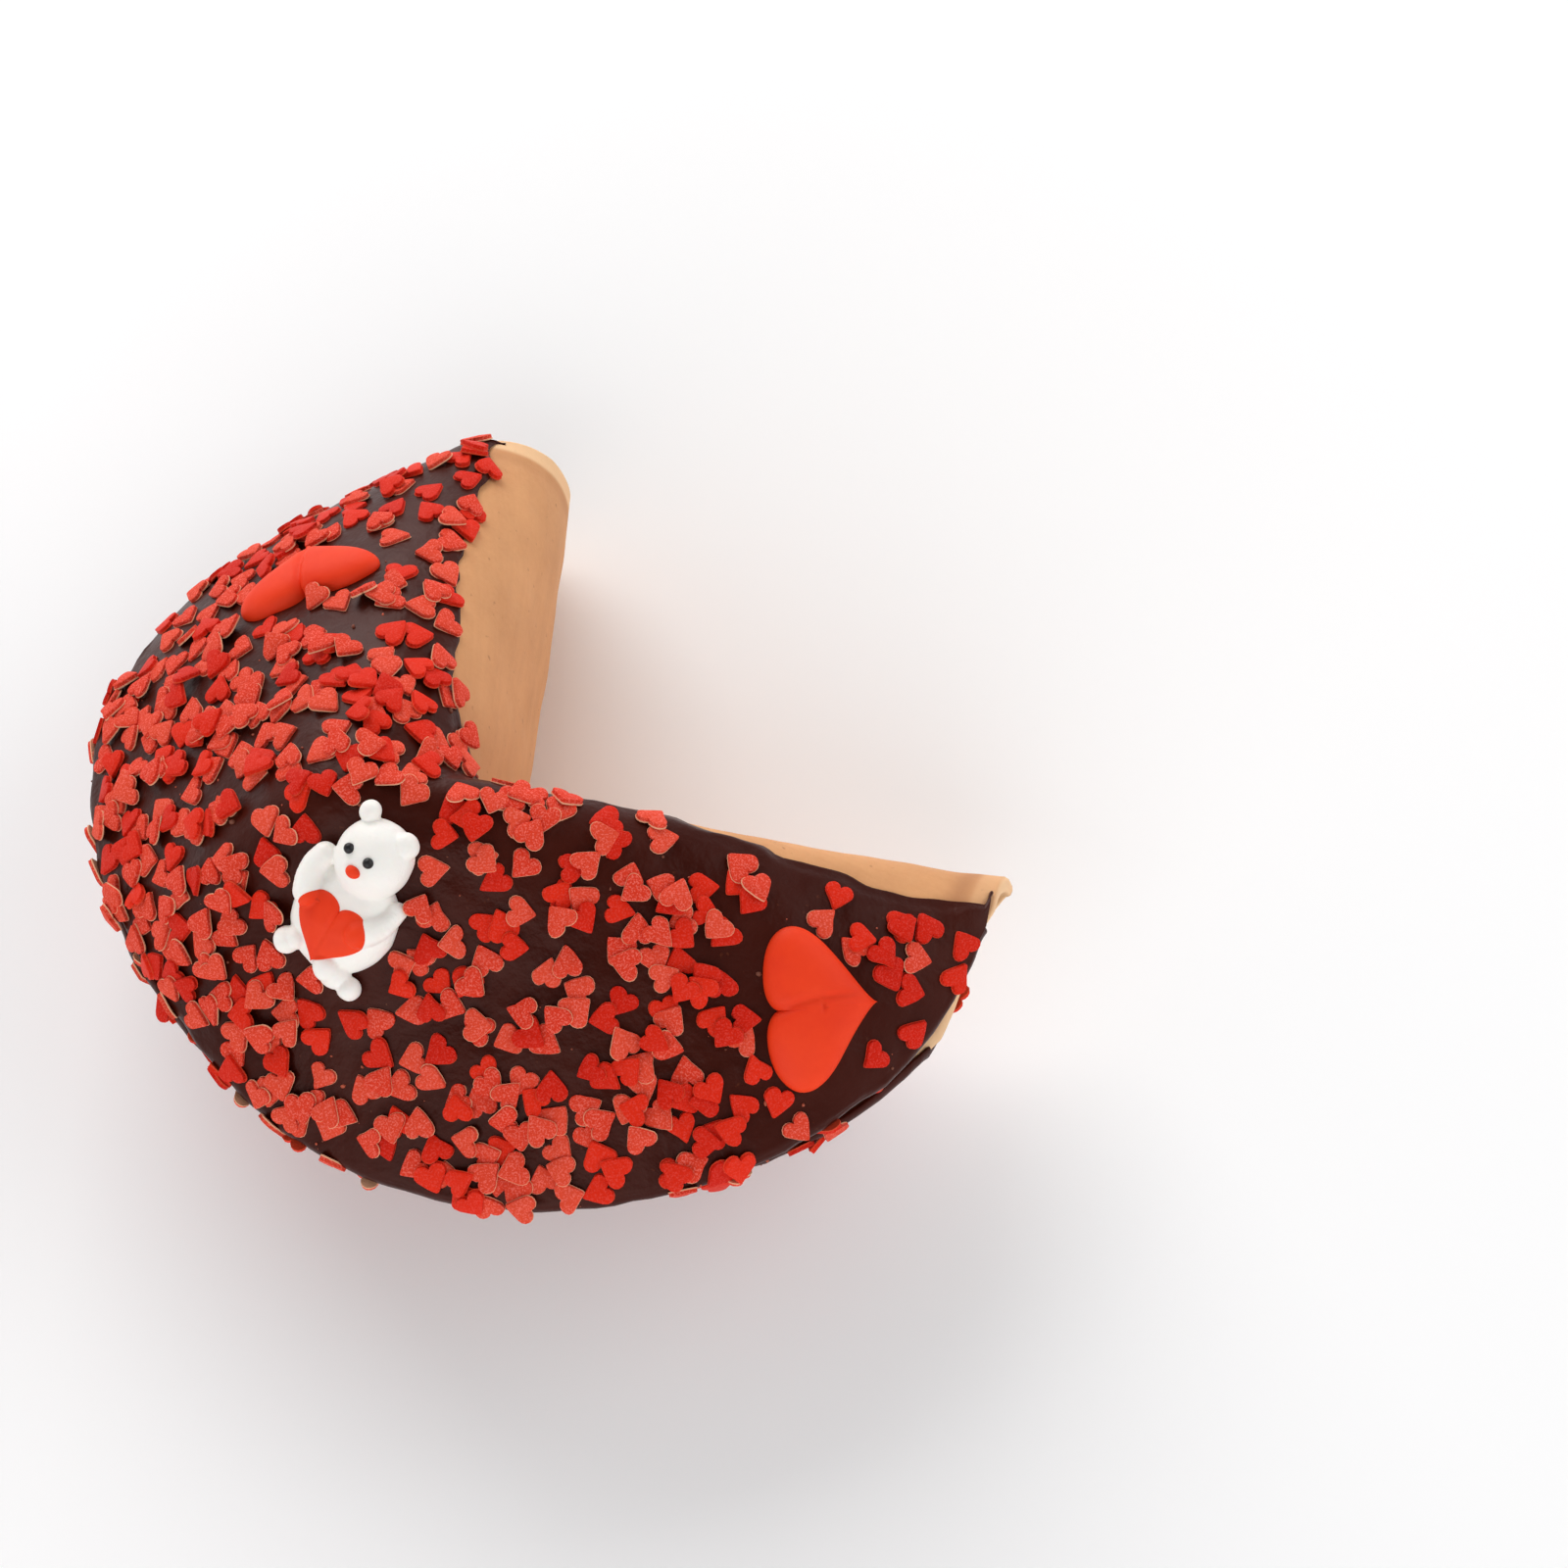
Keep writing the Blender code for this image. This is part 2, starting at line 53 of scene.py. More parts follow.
# The folded disc, as in the solids.
RIGHT_ARM, UPPER_ARM = 87.9, 84.8
KINK_ANGLE, KINK_SKEW = math.radians(89.9), math.radians(20.6)
RIGHT_TIP_TURN, UPPER_TIP_TURN = math.radians(91.6), math.radians(83.5)
TURN_EASE = 0.6
RIGHT_BOW, UPPER_BOW = 4.0, 2.3
LAYER, LAYER_GROWTH, LAYER_TAPER = 115.7, 32.7, 1.08
FOLD_HALF, RIGHT_TIP_HALF, UPPER_TIP_HALF = 48.9, 12.1, 20.6
FACE_EASE = 1.41
FACE_LEAN = math.radians(25.6)
SHOULDER = 25.0
CLOSE_SHARE = 0.51
MOST_CLOSE = math.radians(71.0)
CLOSE_HELD = 0.93
SEAM_HALF = 6.0
SEAM_DROP, SEAM_DROP_AT = 7.0, 0.5
SEAM_DROP_SPREAD = 0.28, 0.5  # towards the kink and towards the tip
LONGER_PER_DROP, SHORTER_PER_DROP = 0.7, 1.6
MOST_X = 0.996
KINK_ROUND = 0.075
SHORTEST_TIP, SHORTEST_LAYER = 1e-4, 8.0
BARE_MIDDLE, BARE_RIGHT_TIP, BARE_UPPER_TIP = 0.76, 1.5, 1.1
BARE_RIGHT_EASE, BARE_UPPER_EASE = 2.2, 1.0
NOTCH_RUN, NOTCH_SPREAD = 0.19, 0.13
TIP_BARE = 0.80  # most of a layer's length that is bare, at the tips
ENDS = {1: (-0.978, 0.991), -1: (-0.955, 0.985)}  # x at which each coat ends
RIGHT_END_BACK = {1: 0.004, -1: 0.045}  # by which each layer's right end slants back from the fold
LIE = np.array(Euler([math.radians(angle) for angle in (-11.57, 3.0, -1.17)]).to_matrix())
FOOT_BLEND = 3.0
FOOT_LEVEL = -35.581  # height of the flat foot under the kink, before the cookie is stood on the floor
FLOOR_CLEAR = 0.02
MIDDLE = np.array((5.124, 11.170, 0.0))  # of the box's bottom, from the kink
BEND_STEPS = 48
SPAN_X, SPAN_S = 0.004, 0.4

# Depths of the visible wafer and coat below the coat's outer face.
WAFER_DEPTH, WALL = 0.9, 2.9
COAT_INNER = 1.3
WAFER_LIP, COAT_LIP = 0.9, 0.35
RIM_OUTER, RIM_INNER = (2.25, 2.1), (1.1, 1.0)  # roundness of the coat round the rim: in depth and outwards
RIM_TURN = {1: math.radians(150.0), -1: math.radians(70.0)}

# Icing, placed by (x, s).
HEART_WAVES = (13.0, -3.5, -1.5, -0.5)
HEART_MIDDLE, HEART_SPAN = -2.3, 26.4
RIGHT_HEART_AT, RIGHT_HEART_TURN = (0.835, 50.5), math.radians(-60.0)
UPPER_HEART_AT, UPPER_HEART_TURN = (-0.603, 63.4), math.radians(90.0)
RIGHT_HEART, UPPER_HEART = (28.5, 19.5, 3.4), (28.5, 15.5, 4.2)  # width, length and height
BEAR_AT, BEAR_TURN = (0.215, 82.5), math.radians(192.0)
BEAR_BODY = (1.0, -0.4, 0.6), (9.2, 10.2, 4.6)
BEAR_HEAD = (-0.1, 11.8, 2.2), (6.8, 7.2, 5.6)
BEAR_BLOBS = (
    ((-5.0, 18.4, 2.4), (1.9, 2.0, 2.0)),  # ears
    ((3.3, 17.2, 3.4), (2.5, 2.4, 2.2)),
    ((-5.2, -9.3, 1.8), (2.4, 2.4, 2.3)),  # feet and legs
    ((-4.0, -7.9, 2.0), (2.1, 2.1, 2.1)),
    ((3.1, -8.7, 2.8), (2.5, 2.5, 2.5)),
    ((4.8, -9.4, 1.6), (3.0, 2.6, 2.4)),
    ((8.3, -10.2, 1.6), (2.2, 2.1, 2.1)),
)
BEAR_ARMS = (
    ((-7.6, 7.6, 2.4), (-6.5, 0.6, 3.6), 2.2, 2.4),
    ((8.1, 6.4, 2.0), (5.1, 0.1, 4.6), 1.7, 2.4),
)
BELLY_HEART = (0.2, -3.4, 3.6, 13.6)
BEAR_DOTS = (
    ("bear_eye_left", "black_icing", (-4.0, 12.4, 6.5), (0.95, 0.95, 0.95)),
    ("bear_eye_right", "black_icing", (0.2, 12.5, 7.6), (0.95, 0.95, 0.95)),
    ("bear_nose", "heart_icing", (-1.2, 9.6, 7.3), (1.35, 1.1, 1.2)),
)

# Toppings.
SPRINKLE_WIDTH, SPRINKLE_LENGTH, SPRINKLE_HEIGHT = 5.7, 5.7, 0.95
SPRINKLES_PER_MM2 = 0.040
BARE_OF_SPRINKLES = 3.4  # along the edge of the right arm's coat
SPRINKLE_SUNK = 0.25


# --- The folded disc ---------------------------------------------------------------------------------


def ease(t):
    t = np.clip(t, 0.0, 1.0)
    return t * t * (3.0 - 2.0 * t)


def by_arm(x, right, upper):
    return np.where(x >= 0.0, right, upper)


def half_face(x):
    tip = by_arm(x, RIGHT_TIP_HALF, UPPER_TIP_HALF)
    return FOLD_HALF + (tip - FOLD_HALF) * np.abs(x) ** FACE_EASE


def seam_drop(x):
    away = x - SEAM_DROP_AT
    spread = np.where(away < 0.0, *SEAM_DROP_SPREAD)
    return SEAM_DROP * np.exp(-((away / spread) ** 2))


def layer_length(x, side):
    """From the fold to the rim. side is 1 for the upper layer and -1 for the lower one."""
    room = np.maximum(1.0 - x * x, SHORTEST_TIP)
    even = (LAYER + LAYER_GROWTH * np.abs(x)) * room ** (0.5 * LAYER_TAPER)
    return even + np.where(np.asarray(side) > 0, LONGER_PER_DROP, -SHORTER_PER_DROP) * seam_drop(x)


def section(x, s, close, length):
    """Reach from the fold and height over its middle, at distance s across a layer."""
    steps = (np.arange(BEND_STEPS) + 0.5) / BEND_STEPS
    x, s, close, length = (np.asarray(value, float)[..., None] for value in (x, s, close, length))
    along = s * steps
    half = half_face(x)
    bent = ease((along - half + SHOULDER) / (2.0 * SHOULDER))
    late = np.clip((along - half) / np.maximum(length - half, SHORTEST_LAYER), 0.0, 1.0)
    turn = FACE_LEAN * np.clip(along / half, 0.0, 1.0)
    closing = close * (1.0 - CLOSE_SHARE + 2.0 * CLOSE_SHARE * late)
    turn = turn + bent * (math.pi / 2.0 - FACE_LEAN + closing)
    return (s * np.sin(turn)).mean(-1), (s * np.cos(turn)).mean(-1)


def closing_turn(x, side):
    """Turn that brings a layer's rim to the seam, found by halving."""
    least, most = np.zeros_like(x), np.full_like(x, MOST_CLOSE)
    length = layer_length(x, side)
    seam = SEAM_HALF - side * seam_drop(x)
    for _ in range(20):
        middle = 0.5 * (least + most)
        _, height = section(x, length, middle, length)
        least = np.where(height > seam, middle, least)
        most = np.where(height > seam, most, middle)
    return most


TABLE_X = np.linspace(-1.0, 1.0, 401)
TABLE_CLOSE = {side: closing_turn(TABLE_X, side) for side in (-1, 1)}


def sharp_fold(x, s):
    """Points of the coat's outer face with a sharp kink, whose V opens to +Y from an arm along +X."""
    held = np.clip(x, -CLOSE_HELD, CLOSE_HELD)
    side = np.where(s < 0.0, -1, 1)
    closes = {key: np.interp(held, TABLE_X, TABLE_CLOSE[key]) for key in TABLE_CLOSE}
    close = np.where(s < 0.0, closes[-1], closes[1])
    reach, height = section(x, np.abs(s), close, layer_length(x, side))
    near = np.abs(x)
    middle_turn = math.pi - 0.5 * KINK_ANGLE + by_arm(x, KINK_SKEW, -KINK_SKEW)
    tip_turn = by_arm(x, RIGHT_TIP_TURN, UPPER_TIP_TURN)
    turn = tip_turn + (middle_turn - tip_turn) * (1.0 - near) ** TURN_EASE
    along = near * by_arm(x, RIGHT_ARM, UPPER_ARM) + reach * np.cos(turn)
    aside = by_arm(x, RIGHT_BOW, UPPER_BOW) * x * x - reach * np.sin(turn)
    cos_kink, sin_kink = math.cos(KINK_ANGLE), math.sin(KINK_ANGLE)
    return np.stack(
        [
            by_arm(x, along, along * cos_kink + aside * sin_kink),
            by_arm(x, aside, along * sin_kink - aside * cos_kink),
            np.where(s < 0.0, -height, height),
        ],
        axis=-1,
    )


def folded(x, s):
    """The same with the kink rounded: each point is a mean over a short stretch of the fold."""
    spread = KINK_ROUND * (1.0 - x * x) ** 2
    shares = ((-0.9, 0.15), (-0.45, 0.225), (0.0, 0.25), (0.45, 0.225), (0.9, 0.15))
    return sum(weight * sharp_fold(x + place * spread, s) for place, weight in shares)


def unit(vectors):
    return vectors / np.linalg.norm(vectors, axis=-1, keepdims=True)


def skin(x, s):
    """Laid points and unit normals of the coat's outer face."""
    x_high, x_low = np.clip(x + SPAN_X, -1.0, 1.0), np.clip(x - SPAN_X, -1.0, 1.0)
    across = folded(x, s + SPAN_S) - folded(x, s - SPAN_S)
    normal = unit(np.cross(across, folded(x_high, s) - folded(x_low, s)))
    return folded(x, s) @ LIE.T, normal @ LIE.T


def settle(points, depth):
    """Presses laid points flat at the foot, and moves them to the row's frame."""
    height = points[..., 2] - FOOT_LEVEL - depth
    blend = (height + FOOT_BLEND) ** 2 / (4.0 * FOOT_BLEND)
    pressed = np.where(height > FOOT_BLEND, height, np.where(height < -FOOT_BLEND, 0.0, blend))
    above = np.maximum(pressed + depth, FLOOR_CLEAR)
    return np.concatenate([points[..., :2], above[..., None]], axis=-1) - MIDDLE


def sink(points, normals, depth):
    """Points at a depth below the outer face, in the row's frame."""
    depth = np.broadcast_to(depth, points.shape[:-1])
    return settle(points - normals * depth[..., None], depth)


def bare_share(x):
    near = np.abs(x)
    run = NOTCH_RUN * np.exp(-((near / NOTCH_SPREAD) ** 2))
    tip = by_arm(x, BARE_RIGHT_TIP, BARE_UPPER_TIP)
    return BARE_MIDDLE + (tip - BARE_MIDDLE) * near ** by_arm(x, BARE_RIGHT_EASE, BARE_UPPER_EASE) - run


def slanted(x, share):
    """x of points at a share of a layer's length, with the right end slanting back."""
    lower = RIGHT_END_BACK[-1] * ease(-share / 0.34)
    return x - np.where(share < 0.0, lower, RIGHT_END_BACK[1] * ease(share / 0.8)) * ease((x - 0.9) / 0.095)


def waves(points, size, seed, count=20):
    """Smooth random field of about unit spread, with lumps about this large."""
    draw = np.random.default_rng(seed)
    ways = unit(draw.normal(size=(count, points.shape[-1])))
    pitch = 2.0 * math.pi / (size * draw.uniform(1.2, 2.8, count))
    phase = draw.uniform(0.0, 2.0 * math.pi, count)
    total = np.zeros(points.shape[:-1])
    for way, turns, start in zip(ways, pitch, phase):
        total += np.sin(turns * (points @ way) + start)
    return total * math.sqrt(2.0 / count)


def crowded(count, most, crowding=0.4):
    """Steps along the fold that are closer at the tips and at the kink."""
    even = np.linspace(-1.0, 1.0, count)
    turn = even - crowding * np.sin(2.0 * math.pi * even) / (2.0 * math.pi)
    return np.sin(turn * math.asin(most))


# --- Mesh helpers ------------------------------------------------------------------------------------


def shown(name, mesh, slot, *nodes):
    """Puts a mesh in the scene as a piece that rides on the part and stands for solids."""
    obj = bpy.data.objects.new(name, mesh)
    bpy.context.scene.collection.objects.link(obj)
    mesh.materials.append(MATERIALS[slot])
    mesh.shade_smooth()
    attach(obj, "root")
    if nodes:
        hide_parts(*nodes)
    return obj


def mesh_from(name, points, faces, tones=None, outwards=True):
    """Mesh from points in millimetres, with an optional colour attribute called tone."""
    mesh = bpy.data.meshes.new(name)
    mesh.from_pydata((np.asarray(points) * MM).tolist(), [], faces)
    if outwards:
        shape = bmesh.new()
        shape.from_mesh(mesh)
        bmesh.ops.recalc_face_normals(shape, faces=shape.faces)
        shape.to_mesh(mesh)
        shape.free()
    if tones is not None:
        colours = np.ones((len(points), 4), np.float32)
        colours[:, : tones.shape[1]] = tones
        mesh.attributes.new("tone", "FLOAT_COLOR", "POINT").data.foreach_set("color", colours.ravel())
    return mesh


def round_of(rows, columns):
    """Places of a grid's outer points, in order."""
    top = list(range(columns))
    right = [row * columns + columns - 1 for row in range(1, rows)]
    bottom = [(rows - 1) * columns + column for column in range(columns - 2, -1, -1)]
    left = [row * columns for row in range(rows - 2, 0, -1)]
    return top + right + bottom + left


def slab(name, outer, inner, lip, tones, steps=5):
    """Closed shell between two sheets of one grid, its edge rounded out by lip."""
    rows, columns, _ = outer.shape
    count = rows * columns
    ring = round_of(rows, columns)
    flat_outer, flat_inner = outer.reshape(-1, 3), inner.reshape(-1, 3)
    edge_outer, edge_inner = flat_outer[ring], flat_inner[ring]
    run = np.roll(edge_outer, -1, axis=0) - np.roll(edge_outer, 1, axis=0)
    out = unit(np.cross(run, edge_outer - edge_inner))
    if np.einsum("ij,ij->i", out, edge_outer - flat_outer.mean(axis=0)).sum() < 0.0:
        out = -out
    middle, half = 0.5 * (edge_outer + edge_inner), 0.5 * (edge_outer - edge_inner)
    loops = []
    for step in range(1, steps):
        turn = math.pi * step / steps
        loops.append(middle + math.cos(turn) * half + lip * math.sin(turn) * out)
    points = np.concatenate([flat_outer, flat_inner, *loops])
    edge_tones = np.tile(tones.reshape(count, -1)[ring], (len(loops), 1))
    edge_tones[:, 2] = 1.0
    flat_tones = tones.reshape(count, -1)
    inner_tones = flat_tones.copy()
    inner_tones[:, 1] = 1.0
    faces = []
    corners = (np.arange(rows - 1)[:, None] * columns + np.arange(columns - 1)[None, :]).reshape(-1, 1)
    quads = corners + np.array([[0, 1, columns + 1, columns]])
    faces = quads.tolist() + (quads[:, ::-1] + count).tolist()
    rings = [ring]
    for step in range(len(loops)):
        rings.append([2 * count + step * len(ring) + place for place in range(len(ring))])
    rings.append([place + count for place in ring])
    for here, there in zip(rings, rings[1:]):
        for place in range(len(ring)):
            following = (place + 1) % len(ring)
            faces.append((here[place], here[following], there[following], there[place]))
    return mesh_from(name, points, faces, np.concatenate([flat_tones, inner_tones, edge_tones]))


# --- Materials ---------------------------------------------------------------------------------------


class Nodes:
    """Short calls for a material's node tree."""

    def __init__(self, name):
        self.material = bpy.data.materials.new(name)
        self.material.use_nodes = True
        self.tree = self.material.node_tree
        self.shader = self.tree.nodes["Principled BSDF"]

    def add(self, kind, settings=None, **inputs):
        node = self.tree.nodes.new(kind)
        for key, value in (settings or {}).items():
            setattr(node, key, value)
        for key, value in inputs.items():
            self.feed(node, key.replace("_", " "), value)
        return node

    def feed(self, node, key, value):
        socket = node.inputs[int(key)] if key.isdigit() else node.inputs[key]
        if isinstance(value, bpy.types.NodeSocket):
            self.tree.links.new(value, socket)
        else:
            socket.default_value = value

    def place(self):
        return self.add("ShaderNodeTexCoord").outputs["Object"]

    def noise(self, scale, detail=3.0, roughness=0.55, vector=None):
        return self.add(
            "ShaderNodeTexNoise",
            Vector=vector or self.place(),
            Scale=scale,
            Detail=detail,
            Roughness=roughness,
        ).outputs["Fac"]

    def ramp(self, value, *stops):
        node = self.add("ShaderNodeValToRGB", Fac=value)
        elements = node.color_ramp.elements
        while len(elements) < len(stops):
            elements.new(0.5)
        for element, (place, colour) in zip(elements, stops):
            element.position = place
            element.color = (*colour, 1.0) if len(colour) == 3 else colour
        return node.outputs["Color"]

    def blend(self, share, first, second, kind="MIX"):
        node = self.add("ShaderNodeMix", {"data_type": "RGBA", "blend_type": kind})
        self.feed(node, "0", share)
        for socket, value in ((node.inputs[6], first), (node.inputs[7], second)):
            if isinstance(value, bpy.types.NodeSocket):
                self.tree.links.new(value, socket)
            else:
                socket.default_value = (*value, 1.0)
        return node.outputs[2]

    def sum(self, first, second, kind="ADD"):
        node = self.add("ShaderNodeMath", {"operation": kind})
        self.feed(node, "0", first)
        self.feed(node, "1", second)
        return node.outputs[0]

    def tone(self):
        node = self.add("ShaderNodeAttribute", {"attribute_name": "tone"})
        return self.add("ShaderNodeSeparateColor", Color=node.outputs["Color"]).outputs

    def finish(self, colour, roughness, bump=None, depth=0.0002, **inputs):
        self.feed(self.shader, "Base Color", colour)
        self.feed(self.shader, "Roughness", roughness)
        for key, value in inputs.items():
            self.feed(self.shader, key.replace("_", " "), value)
        if bump is not None:
            node = self.add("ShaderNodeBump", Height=bump, Distance=depth, Strength=1.0)
            self.feed(self.shader, "Normal", node.outputs["Normal"])
        return self.material


def grey(value):
    return (value, value, value)


def wafer_material():
    """Baked batter. tone: browning with painted shade near the kink, inner side, edge."""
    make = Nodes("baked_wafer")
    tone = make.tone()
    uv = make.add("ShaderNodeAttribute", {"attribute_name": "fold"}).outputs["Vector"]
    streaks = make.noise(1.0, 4.0, 0.7, make.add("ShaderNodeVectorMath", {"operation": "MULTIPLY"}, **{"0": uv, "1": (9.0, 110.0, 1.0)}).outputs[0])
    patches = make.noise(70.0, 4.0)
    grain = make.noise(900.0, 5.0, 0.7)
    specks = make.noise(520.0, 2.0, 0.5)
    colour = make.ramp(patches, (0.3, (0.55, 0.250, 0.097)), (0.7, (0.65, 0.308, 0.125)))
    colour = make.blend(make.ramp(streaks, (0.44, grey(0.0)), (0.62, grey(0.22))), colour, (0.45, 0.195, 0.072))
    colour = make.blend(make.ramp(grain, (0.35, grey(0.0)), (0.75, grey(0.16))), colour, (0.79, 0.43, 0.20))
    colour = make.blend(make.ramp(specks, (0.70, grey(0.0)), (0.76, grey(0.5))), colour, (0.27, 0.095, 0.033))
    # Red tone: browning at the rim and tips, plus painted shade that darkens the wafer towards the kink.
    colour = make.blend(make.sum(tone["Red"], 0.75, "MULTIPLY"), colour, (0.40, 0.160, 0.058))
    colour = make.blend(make.sum(tone["Green"], 0.35, "MULTIPLY"), colour, (0.58, 0.37, 0.17))
    colour = make.blend(make.sum(tone["Blue"], 0.7, "MULTIPLY"), colour, (0.90, 0.60, 0.34))
    height = make.sum(make.sum(grain, 0.35, "MULTIPLY"), make.sum(streaks, 0.5, "MULTIPLY"))
    return make.finish(colour, 0.72, height, 0.00016, Subsurface_Weight=0.05, Subsurface_Scale=0.002)


def chocolate_material():
    make = Nodes("dark_chocolate")
    patches = make.noise(45.0, 4.0)
    fine = make.noise(1400.0, 3.0, 0.6)
    lumps = make.noise(240.0, 3.0, 0.5)
    crumbs = make.noise(700.0, 2.0, 0.5)
    colour = make.ramp(patches, (0.3, (0.031, 0.0030, 0.0011)), (0.72, (0.047, 0.0058, 0.0024)))
    colour = make.blend(make.ramp(crumbs, (0.71, grey(0.0)), (0.78, grey(0.45))), colour, (0.12, 0.030, 0.012))
    rough = make.ramp(make.noise(90.0, 3.0), (0.3, grey(0.30)), (0.7, grey(0.42)))
    height = make.sum(make.sum(lumps, 1.0, "MULTIPLY"), make.sum(fine, 0.12, "MULTIPLY"))
    return make.finish(colour, rough, height, 0.0004, Specular_IOR_Level=0.17, Specular_Tint=(1.0, 0.72, 0.66, 1.0))


def sprinkle_material(name, top, deep, edge, edge_share, rough, grain_share):
    """Pressed sugar. tone: lightness, unused, edge."""
    make = Nodes(name)
    tone = make.tone()
    grain = make.noise(3000.0, 2.0, 0.7)
    colour = make.blend(tone["Red"], deep, top)
    light = tuple(min(1.0, 1.1 * part + 0.10) for part in top)
    colour = make.blend(make.ramp(grain, (0.50, grey(0.0)), (0.62, grey(grain_share))), colour, light)
    colour = make.blend(make.sum(tone["Blue"], edge_share, "MULTIPLY"), colour, edge)
    return make.finish(colour, rough, grain, 0.00010, Specular_IOR_Level=0.12, Specular_Tint=(1.0, 0.6, 0.5, 1.0))


def icing_material(name, low, high, rough, depth=0.00008):
    make = Nodes(name)
    grain = make.noise(1800.0, 4.0, 0.6)
    lumps = make.noise(260.0, 3.0)
    colour = make.ramp(make.noise(120.0, 3.0), (0.3, low), (0.7, high))
    height = make.sum(make.sum(grain, 0.35, "MULTIPLY"), lumps)
    return make.finish(colour, rough, height, depth, Subsurface_Weight=0.08, Subsurface_Scale=0.0015, Specular_IOR_Level=0.25)


def crumb_material():
    make = Nodes("crumbs")
    tone = make.tone()
    colour = make.blend(tone["Red"], (0.10, 0.035, 0.016), (0.55, 0.10, 0.045))
    return make.finish(colour, 0.65, make.noise(1500.0), 0.0001)


MATERIALS = {
    "wafer": wafer_material(),
    "chocolate": chocolate_material(),
    "heart_icing": icing_material("orange_red_icing", (0.76, 0.033, 0.0028), (0.83, 0.046, 0.005), 0.62),
    "white_icing": icing_material("white_icing", (0.86, 0.83, 0.78), (0.90, 0.88, 0.84), 0.42, 0.0002),
    "black_icing": icing_material("black_icing", (0.010, 0.010, 0.012), (0.020, 0.018, 0.018), 0.3),
    "salmon": sprinkle_material("salmon_sugar", (0.70, 0.066, 0.031), (0.64, 0.034, 0.014), (0.80, 0.46, 0.28), 0.9, 0.7, 0.7),
    "red": sprinkle_material("red_sugar", (0.70, 0.022, 0.0055), (0.55, 0.010, 0.0025), (0.66, 0.09, 0.035), 0.6, 0.55, 0.25),
    "crumbs": crumb_material(),
}
SLOTS = {name: name for name in ("wafer", "chocolate", "heart_icing", "white_icing", "black_icing")}
SLOTS.update(salmon="heart_icing", red="heart_icing", crumbs="chocolate")


# --- Wafer and chocolate -----------------------------------------------------------------------------


def make_wafer():
    x = crowded(170, MOST_X)[:, None]
    share = np.sin(np.linspace(-1.0, 1.0, 171) * 1.25) / math.sin(1.25)
    uneven = 1.0 + 0.004 * waves(np.concatenate([x * 85.0, np.zeros_like(x)], axis=1)[:, None, :], 6.0, 3)
    side = np.where(share < 0.0, -1, 1)[None, :]
    x = slanted(x, share[None, :])
    s = layer_length(x, side) * share[None, :] * uneven
    points, normals = skin(x, s)
    lumps = 0.16 * waves(points, 14.0, 5) + 0.05 * waves(points, 4.0, 6)
    outer = sink(points, normals, WAFER_DEPTH - lumps)
    inner = sink(points, normals, WAFER_DEPTH + WALL - lumps)
    to_rim = layer_length(x, side) - np.abs(s)
    to_tip = (MOST_X - np.abs(x)) * 86.0
    # Painted shade: the wafer is darkened towards the kink of the upper arm, where the notch lies in shade.
    kink_painted_shade = np.where(x < 0.0, np.exp(-((x / 0.22) ** 2)), 0.0) * 0.6
    near_tip = np.exp(-(((to_tip - 4.6) / 1.6) ** 2)) * by_arm(x, 0.9, 0.35)
    browning_and_kink_shade = np.clip(np.exp(-((to_rim / 5.0) ** 2)) * 0.5 + kink_painted_shade + near_tip, 0.0, 1.0)
    rim_band = ease((3.4 - to_tip) / 0.9) * by_arm(x, 0.3, 1.0)
    tones = np.stack([browning_and_kink_shade, np.zeros_like(browning_and_kink_shade), rim_band], axis=-1)
    mesh = slab("wafer_shell", outer, inner, WAFER_LIP, tones)
    count = len(mesh.vertices)
    along = np.zeros((count, 3), np.float32)
    flat = np.stack([x * 0.086, s * 0.001, 0.0 * x], axis=-1).reshape(-1, 3)
    along[: len(flat)] = flat
    along[len(flat) : 2 * len(flat)] = flat
    mesh.attributes.new("fold", "FLOAT_VECTOR", "POINT").data.foreach_set("vector", along.ravel())
    shown("wafer_shell", mesh, "wafer", "wafer")


COATS = {}


